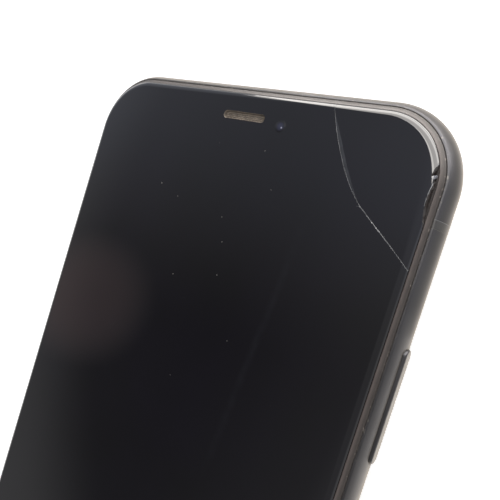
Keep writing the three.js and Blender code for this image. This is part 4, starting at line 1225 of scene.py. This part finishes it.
def crack_region(name, shift, materials):
    """The solid that holds the corner side of the glass, bounded by the crack."""
    rings = []
    far_x, far_y = 60, 100
    for z in (GLASS_FOOT - 0.3, Z_FRONT + 0.2):
        ring = [(p.x + n.x * shift, p.y + n.y * shift, z) for p, n, *_ in crack_line()]
        rings.append(ring + [(far_x, ring[-1][1], z), (far_x, far_y, z), (ring[0][0], far_y, z)])
    return solid(name, rings, materials)


def groove(name, rows, materials):
    """A ragged groove in the face of the glass from (point, normal, lip, face) rows, pale where steep."""
    rings, dark = [], []
    reach = 1 + GROOVE_OVER / CRACK_DEPTH
    for p, n, lip, face in rows:
        left, right = p - n * lip * reach, p + n * max(lip, face) * reach
        top = face_height(p.x, p.y)
        over = top + GROOVE_OVER
        rings.append([(left.x, left.y, over), (p.x, p.y, top - CRACK_DEPTH), (right.x, right.y, over)])
        dark.append(face > lip)
    cutter = mesh_object(name, *loft(rings), materials)
    for i in range(len(rings) - 1):
        if dark[i]:
            cutter.data.polygons[i * 3 + 1].material_index = 1
    return outward(cutter)


def spur_rows():
    """The side branch as rows of a groove."""
    return [(Vector((x, y, 0)), Vector(SPUR_NORMAL), lip, 0.0) for x, y, lip in SPUR]


def chip_lip_rows():
    """The pale lip of the chip as rows of a groove, widening towards the corner as a painted highlight."""
    low, high = CHIP_LIP_SPAN
    return [
        (Vector((x, y, 0)), Vector((1, 0, 0)), CHIP_LIP + CHIP_LIP * (y - low), 0.0)
        for x, y in smooth_path(CHIP, 0.3) if low < y < high
    ]


def chip_cut(name, materials):
    """The missing edge beside the corner: its broken face slopes out from the face of the glass."""
    shake = shaker(2)
    edge = smooth_path(CHIP, 0.3)
    clear = 38.5
    rings = []
    for z in (GLASS_FOOT - 0.2, GLASS_FOOT + 0.2, GLASS_FOOT + 0.5, Z_FRONT - 0.05, Z_FRONT + 0.3):
        out = (Z_FRONT - z) * CHIP_SLOPE
        ring = [(x + out + shake.uniform(-0.05, 0.05), y + shake.uniform(-0.06, 0.06), z) for x, y in edge]
        rings.append([*ring, (clear, ring[-1][1], z), (clear, ring[0][1], z)])
    return solid(name, rings, materials, 0)


def glass_blank(name, materials):
    """The whole cover glass: a stood edge, a rounded run and a flat face."""
    rings = [plan_ring(GLASS_EDGE + 0.06, GLASS_FOOT), plan_ring(GLASS_EDGE, GLASS_FOOT + 0.05)]
    for i in range(17):
        turn = EDGE_TILT * (1 - i / 16)
        inset = GLASS_EDGE + size("glass_run") - edge_bend() * math.sin(turn)
        rings.append(plan_ring(inset, Z_FRONT - edge_bend() * (1 - math.cos(turn))))
    return solid(name, rings, materials)


class PHONE_OT_display(bpy.types.Operator):
    """Builds the bezel, the front camera and the cover glass, broken across its corner"""

    bl_idname = "phone.display"
    bl_label = "Display"

    def execute(self, context):
        inner, ledge = GLASS_EDGE - 0.008, GLASS_EDGE + 1.0
        bezel = swept("display_bezel_fine", [
            (BEZEL_OUTER, BEZEL_FOOT), *BEZEL_FACE, (inner - 0.03, BEZEL_TOP - 0.01),
            (inner, BEZEL_TOP - 0.04), (inner, GLASS_SEAT), (ledge, GLASS_SEAT), (ledge, BEZEL_FOOT),
        ], (bezel_plastic(),))
        stands_for(bezel, "bezel_plastic", "display_bezel")

        # Grime that fills the gap between frame and bezel; its dark colour and its height set the gap's
        # painted shade
        near, far = DISPLAY_POCKET + 0.005, BEZEL_OUTER - 0.005
        grime_and_gap_shade = swept("gap_grime", [
            (near, GRIME_AND_GAP_SHADE[0]), (near, GRIME_AND_GAP_SHADE[1]), (DISPLAY_POCKET + 0.06, GRIME_AND_GAP_SHADE[1] - 0.04),
            (far, GRIME_AND_GAP_SHADE[1]), (far, GRIME_AND_GAP_SHADE[0]),
        ], (packed_grime(),))
        stands_for(grime_and_gap_shade, "seal_rubber")

        camera = [sum(node_span("front_camera", axis)) / 2 for axis in (0, 1)]
        self.cover_glass(camera)
        self.front_camera(camera)
        return {"FINISHED"}

    def cover_glass(self, camera):
        """Both panes of the broken glass, cut from one blank."""
        black, edge, face = cover_glass_black(), broken_edge(), broken_face()
        ear = [sum(node_span("earpiece_mesh", axis)) / 2 + SLOT_SHIFT[axis] for axis in (0, 1)]
        low, high = GLASS_FOOT - 1, Z_FRONT + 1
        gap = size("crack_gap") / 2
        for name, shift, operation in (
            ("cover_glass_fine", -gap, "DIFFERENCE"), ("cover_glass_corner_fine", gap, "INTERSECT"),
        ):
            glass = carved(glass_blank(name, (black,)), [
                bore(slot_ring(*EARPIECE_SLOT, 0, 16), low, high, upright(*ear), mesh_wire()),
                bore(circle_ring(WINDOW, 40), low, high, upright(*camera), black),
                groove("crack_groove", crack_line(), (edge, face)),
                groove("spur_groove", spur_rows(), (edge, face)),
                groove("chip_line", chip_lip_rows(), (edge, face)),
                chip_cut("chip", (chipped_face(),)),
            ], smooth_angle=5)
            glass = carved(glass, [crack_region("corner", shift, (face,))], operation, 5)
            stands_for(glass, "cover_glass", name.removesuffix("_fine"))

    def front_camera(self, camera):
        """The window in the glass, and the barrel with its lens."""
        rim = circle_ring(WINDOW + 0.03, 40)
        pane = [(rim, GLASS_FOOT + 0.01), (rim, Z_FRONT), (circle_ring(WINDOW + 0.02, 40), Z_FRONT + 0.003)]
        pane = post("camera_window", pane, upright(*camera), (camera_window_glass(*camera),))
        stands_for(pane, "lens_glass")

        low, high = node_box("front_camera")
        radius, foot, top = (high.x - low.x) / 2, low.z, high.z
        mouth, throat, lens = 0.95, 0.62, 0.64
        barrel = turned("front_camera_fine", [
            (radius, foot), (radius, top - 0.1), (radius - 0.1, top),
            (mouth, top), (throat, top - 0.3), (throat, foot),
        ], upright(*camera), (moulded_plastic("black_moulded_nylon", "#141414"),), 48)
        dome = [(circle_ring(lens), foot + 0.2), (circle_ring(lens), top - 0.2)]
        for i in range(1, 6):
            turn = math.pi / 2 * i / 6
            dome.append((circle_ring(0.2 * math.cos(turn)), top - 0.2 + 0.1 * math.sin(turn)))
        dome = post("lens", dome, upright(*camera), (coated_lens(),), 60)
        stands_for(carved(barrel, [dome], "UNION"), "lens_glass", "front_camera")


class PHONE_OT_breakage(bpy.types.Operator):
    """Builds what the break left: bared adhesive, a loose shard and crumbs along the crack"""

    bl_idname = "phone.breakage"
    bl_label = "Breakage"

    def execute(self, context):
        shake = shaker(4)
        start, spacing, count = ADHESIVE_ROWS
        foot = GLASS_SEAT + 0.005
        rows = []
        for i in range(count):
            y = start - i * spacing
            top = GLASS_SEAT + (0.05 + 0.09 * math.sin(math.pi * i / (count - 1)))
            near, far = inset_x(3.0, y), inset_x(GLASS_EDGE - 0.045, y)
            rows.append([
                (near + shake.uniform(-0.06, 0.06), y, foot), (near + 0.2, y, top + shake.uniform(0, 0.03)),
                (far - 0.12, y, top + shake.uniform(0, 0.03)), (far, y, foot),
            ])
        stands_for(solid("bared_adhesive", rows, (adhesive(),), 60), "seal_rubber")

        # The shard's top takes the pale broken edge as a painted highlight, and its flank a dimmer painted
        # grey
        for name, corners, material in (
            ("chip_shard", SHARD, broken_edge()), ("chip_shard_flank", SHARD_FLANK, broken_flank()),
        ):
            base = [(x, y, GLASS_SEAT + 0.01) for x, y, _ in corners]
            stands_for(solid(name, [base, corners], (material,), 20), "cover_glass")

        spots = []
        for p, n, lip, _ in crack_line(0.15):
            if p.y < CRUMB_LIMIT[1] and shake.random() < CRUMB_SHARE and p.x < CRUMB_LIMIT[0]:
                q = p + n * shake.uniform(-1.6, 1.6) * lip
                grain = shake.uniform(0.02, 0.05)
                spots.append((q.x, q.y, Z_FRONT + grain * 0.2, grain))
        stands_for(crumbs("crack_crumbs", spots, broken_edge()), "cover_glass")
        return {"FINISHED"}


class PHONE_OT_earpiece(bpy.types.Operator):
    """Builds the woven mesh of the earpiece"""

    bl_idname = "phone.earpiece"
    bl_label = "Earpiece"

    def execute(self, context):
        low, high = node_box("earpiece_mesh")
        middle = (low + high) / 2
        length, width = high.x - low.x, high.y - low.y
        rim, pitch = 0.14, size("mesh_pitch")
        sections = [
            (slot_ring(length, width, inset, 12), z)
            for inset, z in ((0, low.z), (0, high.z), (rim, high.z), (rim, low.z))
        ]
        base = post("rim", sections, upright(middle.x, middle.y), closed=True)
        mesh = grown("earpiece_mesh_fine", base, weave_tree(), {
            "Length": (length - 0.2) * MM, "Width": (width - 0.2) * MM, "Pitch": pitch * MM,
            "Wire": pitch * 0.5 * MM, "Centre": middle * MM, "Material": mesh_wire(),
        }, 60)
        stands_for(mesh, "earpiece_mesh", "earpiece_mesh")
        return {"FINISHED"}


# The bottom end and the back

class PHONE_OT_bottom_end(bpy.types.Operator):
    """Builds the charging socket and the screws beside it"""

    bl_idname = "phone.bottom_end"
    bl_label = "Bottom end"

    def execute(self, context):
        steel = rolled_metal("dark_plated_steel", "#3a3a3c", 0.38)
        low, high = node_box("charging_port")
        width, height = high.x - low.x, high.z - low.z
        mouth, rear = -low.y, -high.y
        wall, chamfer, depth = 0.7, 0.15, 7
        profile = [
            (0, rear), (0, mouth - chamfer), (chamfer, mouth), (wall - chamfer, mouth),
            (wall, mouth - chamfer), (wall, mouth - depth),
        ]
        sections = [(slot_ring(width, height, inset, 16), out) for inset, out in profile]
        port = post("charging_port_fine", sections, on_bottom(0, (low.z + high.z) / 2), (steel,))
        stands_for(port, "dark_steel", "charging_port")

        place = on_bottom(0, 0)
        for node in ("bottom_screw_left", "bottom_screw_right"):
            low, high = node_box(node)
            middle = (low + high) / 2
            top, tip = -low.y, -high.y
            head = [(circle_ring(radius, 40), out) for radius, out in (
                (0.6, tip), (0.6, top - 0.6), (0.95, top - 0.6), (0.95, top - 0.1), (0.85, top),
            )]
            lobes = []
            for i in range(60):
                t = 2 * math.pi * i / 60
                radius = 0.48 + 0.1 * math.cos(6 * t)
                lobes.append((radius * math.cos(t), radius * math.sin(t)))
            drive = bore(lobes, top - 0.3, top + PAST, place, steel)
            source = carved(post("screw", head, place, (steel,)), [drive])
            screw = row(node + "_fine", source, 1, (middle.x, middle.z), 0, steel)
            stands_for(screw, "dark_steel", node)
        return {"FINISHED"}


class PHONE_OT_back(bpy.types.Operator):
    """Builds the back glass, the camera ring with its lens, and the flash"""

    bl_idname = "phone.back"
    bl_label = "Back"

    def execute(self, context):
        gloss = black_gloss_glass("back_glass_coated", "#08080a", 0.06)
        z_top = node_span("back_glass", 2)[1]
        ring_low, ring_high = node_box("camera_ring")
        camera = (ring_low + ring_high) / 2
        flash = sum(node_box("flash_lens"), Vector()) / 2
        edge_stand = 0.15
        rings = [plan_ring(BACK_EDGE, z_top)]
        for i in range(13):
            turn = math.pi / 2 * i / 12
            rise = z_top - edge_stand - Z_BACK
            rings.append(plan_ring(BACK_EDGE + 1 - math.cos(turn), Z_BACK + rise * (1 - math.sin(turn))))
        # Holes for the camera, the flash and the rear microphone: radius and place
        openings = (6.6, camera.x, camera.y), (2.6, flash.x, flash.y), (0.5, camera.x, camera.y - 8.6)
        holes = [
            bore(circle_ring(radius, 96), Z_BACK - PAST, z_top + PAST, upright(x, y), gloss)
            for radius, x, y in openings
        ]
        glass = carved(solid("back_glass_fine", rings, (gloss,)), holes)
        stands_for(glass, "back_glass", "back_glass")

        outer, bore_radius, seat = 6.5, 5.5, node_span("camera_lens_cover", 2)[1] + 0.05
        flange, step, lip = outer + 0.7, bore_radius - 0.8, z_top + 0.02
        ring = turned("camera_ring_fine", [
            (outer - 0.2, 0), (outer - 0.06, 0.06), (outer, 0.2), (outer, lip), (flange, lip),
            (flange, ring_high.z), (step, ring_high.z), (step, seat), (bore_radius, seat),
            (bore_radius, 0.1), (bore_radius + 0.1, 0),
        ], upright(camera.x, camera.y), (anodised_aluminium(),), 128)
        stands_for(ring, "anodised_aluminium", "camera_ring")

        lens = black_gloss_glass("camera_lens_glass", "#0b1016", 0.03)
        for node, middle, steps, chamfer, slot, material in (
            ("camera_lens_cover", camera, 96, 0.06, "lens_glass", lens),
            ("flash_lens", flash, 64, 0.1, "flash_plastic", flash_material()),
        ):
            low, high = node_box(node)
            radius = (high.x - low.x) / 2
            disc = post(node + "_fine", [
                (circle_ring(radius, steps), high.z), (circle_ring(radius, steps), low.z + chamfer),
                (circle_ring(radius - chamfer, steps), low.z),
            ], upright(middle.x, middle.y), (material,))
            stands_for(disc, slot, node)
        return {"FINISHED"}


class PHONE_OT_inner_parts(bpy.types.Operator):
    """Gives the parts inside the phone their materials"""

    bl_idname = "phone.inner_parts"
    bl_label = "Inner parts"

    def execute(self, context):
        black = moulded_plastic("black_moulded_nylon", "#141414")
        steel = rolled_metal("nickel_plated_steel", "#a8a6a1")
        polyimide = moulded_plastic("polyimide_flex", "#6b4a1d", 0.45)
        finishes = {
            "wireless_coil": wound_copper(), "main_board": solder_mask(),
            "display_panel": black_gloss_glass("display_panel_off", "#060607", 0.2),
            "display_seal": moulded_plastic("foam_seal_rubber", "#1b1b1c", 0.7),
            "battery": moulded_plastic("battery_pouch_film", "#1d1d1f", 0.4),
            "vibration_motor": rolled_metal("dark_plated_steel", "#3a3a3c", 0.38),
            "battery_tab": polyimide, "charging_flex": polyimide, "display_flex": polyimide,
        }
        for node in (
            "rear_camera_module", "speaker_mesh", "microphone_mesh", "loudspeaker",
            "silent_switch_body", "earpiece_speaker", "front_sensor_module",
        ):
            finishes[node] = black
        for node, made in NODES.items():
            if not made.hide_render:
                for material_slot in made.material_slots:
                    material_slot.material = finishes.get(node, steel)
        return {"FINISHED"}


# Dust: place on the face of the glass and size of each larger speck, and the number of small ones
SPECKS = [
    (-14.27, 54.37, 0.28), (-9.42, 52.82, 0.14), (6.31, 63.77, 0.15), (9.81, 57.74, 0.17),
    (1.79, 51.35, 0.15), (3.39, 47.27, 0.17), (4.47, 41.69, 0.2), (-5.03, 39.13, 0.17),
    (10.48, 32.03, 0.18), (1.2, 22.4, 0.15),
]
SMALL_SPECKS = 120


class PHONE_OT_dust(bpy.types.Operator):
    """Builds the dust specks on the glass"""

    bl_idname = "phone.dust"
    bl_label = "Dust"

    def execute(self, context):
        shake = shaker(6)
        sunk = 0.15
        spots = [(x, y, Z_FRONT + sunk * grain, grain) for x, y, grain in SPECKS]
        half, end = size("width") / 2 - 5, size("length") / 2 - 5
        for _ in range(SMALL_SPECKS):
            grain = 0.02 + 0.06 * shake.random() ** 3
            x, y = shake.uniform(-half, half), shake.uniform(-end, end)
            spots.append((x, y, Z_FRONT + sunk * grain, grain))
        stands_for(crumbs("dust_specks", spots, dust_material(), 0.35, 0.5), "earpiece_mesh")
        return {"FINISHED"}


# The stage, in metres

# The floor: half its width in millimetres, and how far it is lifted to white
FLOOR_HALF = 4000
FLOOR_LIFT = 0.56
# Light of the tent: its lowest level, and what is added along an axis as (axis, start, full, gain)
TENT_LEVEL = 0.17
TENT_PARTS = (
    ("Y", -0.2, 0.3, 0.45), ("X", -0.6, -0.2, 0.2), ("X", -0.325, -0.27, 0.14), ("Z", 0.66, 0.54, 0.28),
)
LOW_RIGHT = (("X", -0.25, 0.3), ("Z", 0.75, 0.4))
LOW_RIGHT_GAIN = 0.3
COOL_TINT = (0.93, 0.97, 1.08, 1)
# The warm patch of the tent that the left of the glass mirrors: its way, soft edge, gain and tint
WARM_WAY = (-0.757, -0.165, 0.632)
WARM_EDGE = (0.9905, 0.9998)
WARM_GAIN = 0.26
WARM_TINT = (1.15, 0.94, 0.93, 1)
# Softboxes round a point on the phone: name, turn, distance, height of the middle, lean, width, height
# and radiance
SOFTBOX_TARGET = (0.02, 0.05)
SOFTBOXES = (
    ("key_softbox", 68, 0.58, 0.4, 34, 0.5, 0.4, 2.0),
    ("highlight_card", 83, 0.3, 0.515, 0, 0.57, 0.93, 7.5),
    ("upper_strip", 83, 0.295, 0.78, 0, 0.57, 0.4, 5.5),
    ("lower_strip", 86, 0.32, 0.145, 0, 0.62, 0.12, 5.5),
    ("horizon_strip", 82, 0.35, 0.027, 0, 0.72, 0.05, 15.0),
)
# A white card that lies beside the phone and shows in the side of its frame
FLOOR_CARD = ("floor_card", (0.0575, -0.059, 0.0006), -90, -90, 0.035, 0.202, 2.0)
# The camera: place in millimetres, its right and up, and its lens
CAMERA_PLACE = (58.466, 47.538, 80.229)
CAMERA_RIGHT = (0.79816, 0.30183, -0.52139)
CAMERA_UP = (-0.28164, 0.95199, 0.11995)
CAMERA_LENS = 37.804
CAMERA_SHIFT = (-0.02633, 0.06317)


@finish("white_studio_floor")
def white_floor(tree, point):
    """Matt white floor, lifted to white for the camera and in reflections; it keeps the shadow."""
    path = add(tree, "ShaderNodeLightPath").outputs
    seen = calc(tree, "MAXIMUM", path["Is Camera Ray"], path["Is Glossy Ray"])
    seen = calc(tree, "MAXIMUM", seen, path["Is Transmission Ray"])
    matt = add(tree, "ShaderNodeBsdfDiffuse", {"Color": (0.9, 0.9, 0.9, 1)})
    lift = add(
        tree, "ShaderNodeEmission", {"Color": rgba("#fffdf8"), "Strength": times(tree, seen, FLOOR_LIFT)}
    )
    return add(tree, "ShaderNodeAddShader", {0: matt.outputs[0], 1: lift.outputs[0]})


def studio_tent(tree):
    """Soft light all round: brighter behind, on the right and low down, with one warm patch."""
    way = add(tree, "ShaderNodeTexCoord").outputs["Generated"]
    axes = parts(tree, way)
    level = TENT_LEVEL
    for axis, start, full, gain in TENT_PARTS:
        level = calc(tree, "ADD", times(tree, band(tree, axes[axis], start, full), gain), level)
    low_right = times(tree, *[band(tree, axes[axis], start, full) for axis, start, full in LOW_RIGHT])
    warm = band(tree, vector(tree, "DOT_PRODUCT", way, WARM_WAY, "Value"), *WARM_EDGE)
    for part, gain in ((low_right, LOW_RIGHT_GAIN), (warm, WARM_GAIN)):
        level = calc(tree, "ADD", times(tree, part, gain), level)
    tint = mixed(tree, band(tree, axes["Y"], -0.1, 0.2), (1, 1, 1, 1), COOL_TINT)
    tint = mixed(tree, warm, tint, WARM_TINT)
    tent = add(tree, "ShaderNodeBackground", {"Color": tint, "Strength": level})
    add(tree, "ShaderNodeOutputWorld", {"Surface": tent.outputs[0]})


def softbox(name, place, turn, lean, width, height, radiance):
    """A rectangular lamp; the key lights surfaces, and the cards show only in reflections."""
    lamp = bpy.data.lights.new(name, "AREA")
    lamp.shape = "RECTANGLE"
    lamp.size, lamp.size_y = width, height
    lamp.energy = radiance * math.pi * width * height
    lamp.color = linear("#fffaf4")
    made = bpy.data.objects.new(name, lamp)
    bpy.context.scene.collection.objects.link(made)
    made.location = place
    made.rotation_euler = (math.radians(90 - lean), 0, math.radians(turn + 90))
    made.visible_diffuse = name == "key_softbox"
    made.visible_glossy = name != "key_softbox"
    return made


class PHONE_OT_stage(bpy.types.Operator):
    """Builds the pale floor, the studio light and the camera"""

    bl_idname = "phone.stage"
    bl_label = "Stage"

    def execute(self, context):
        scene = context.scene
        scene.view_settings.view_transform = "Standard"
        corners = [(x * FLOOR_HALF, y * FLOOR_HALF, 0) for x, y in ((-1, -1), (1, -1), (1, 1), (-1, 1))]
        mesh_object("floor", corners, [(0, 1, 2, 3)], (white_floor(),))

        world = bpy.data.worlds.new("studio_tent")
        scene.world = world
        world.use_nodes = True
        world.node_tree.nodes.clear()
        studio_tent(world.node_tree)

        x, y = SOFTBOX_TARGET
        for name, turn, distance, middle, *shape in SOFTBOXES:
            way = math.radians(turn)
            place = (x + distance * math.cos(way), y + distance * math.sin(way), middle)
            softbox(name, place, turn, *shape)
        softbox(*FLOOR_CARD).visible_camera = False

        view = bpy.data.cameras.new("camera")
        view.sensor_width = 36
        view.lens = CAMERA_LENS
        view.shift_x, view.shift_y = CAMERA_SHIFT
        view.clip_start = 0.001
        camera = bpy.data.objects.new("camera", view)
        scene.collection.objects.link(camera)
        right = Vector(CAMERA_RIGHT)
        back = right.cross(Vector(CAMERA_UP)).normalized()
        turn = Matrix((right, back.cross(right).normalized(), back)).transposed()
        camera.matrix_world = Matrix.Translation(Vector(CAMERA_PLACE) * MM) @ turn.to_4x4()
        scene.camera = camera
        return {"FINISHED"}


OPERATORS = (
    PHONE_OT_stage,
    PHONE_OT_frame,
    PHONE_OT_antenna_strips,
    PHONE_OT_buttons,
    PHONE_OT_card_tray,
    PHONE_OT_bottom_end,
    PHONE_OT_back,
    PHONE_OT_display,
    PHONE_OT_breakage,
    PHONE_OT_earpiece,
    PHONE_OT_dust,
    PHONE_OT_inner_parts,
)


class PHONE_PT_panel(bpy.types.Panel):
    """Lists the sizes, colours and building steps of the phone"""

    bl_idname = "PHONE_PT_panel"
    bl_label = "Cracked smartphone"
    bl_space_type = "VIEW_3D"
    bl_region_type = "UI"
    bl_category = "Phone"

    def draw(self, context):
        for group in (context.scene.phone_sizes, context.scene.phone_colours):
            box = self.layout.box()
            for name in group.__annotations__:
                box.prop(group, name)
        for operator in OPERATORS:
            self.layout.operator(operator.bl_idname)


CLASSES = (PhoneSizes, PhoneColours, *OPERATORS, PHONE_PT_panel)


def register():
    for cls in CLASSES:
        bpy.utils.register_class(cls)
    bpy.types.Scene.phone_sizes = PointerProperty(type=PhoneSizes)
    bpy.types.Scene.phone_colours = PointerProperty(type=PhoneColours)


def unregister():
    del bpy.types.Scene.phone_colours
    del bpy.types.Scene.phone_sizes
    for cls in reversed(CLASSES):
        bpy.utils.unregister_class(cls)


def main():
    """Builds everything in order."""
    register()
    for operator in OPERATORS:
        group, name = operator.bl_idname.split(".")
        getattr(getattr(bpy.ops, group), name)()


if __name__ == "__main__":
    main()
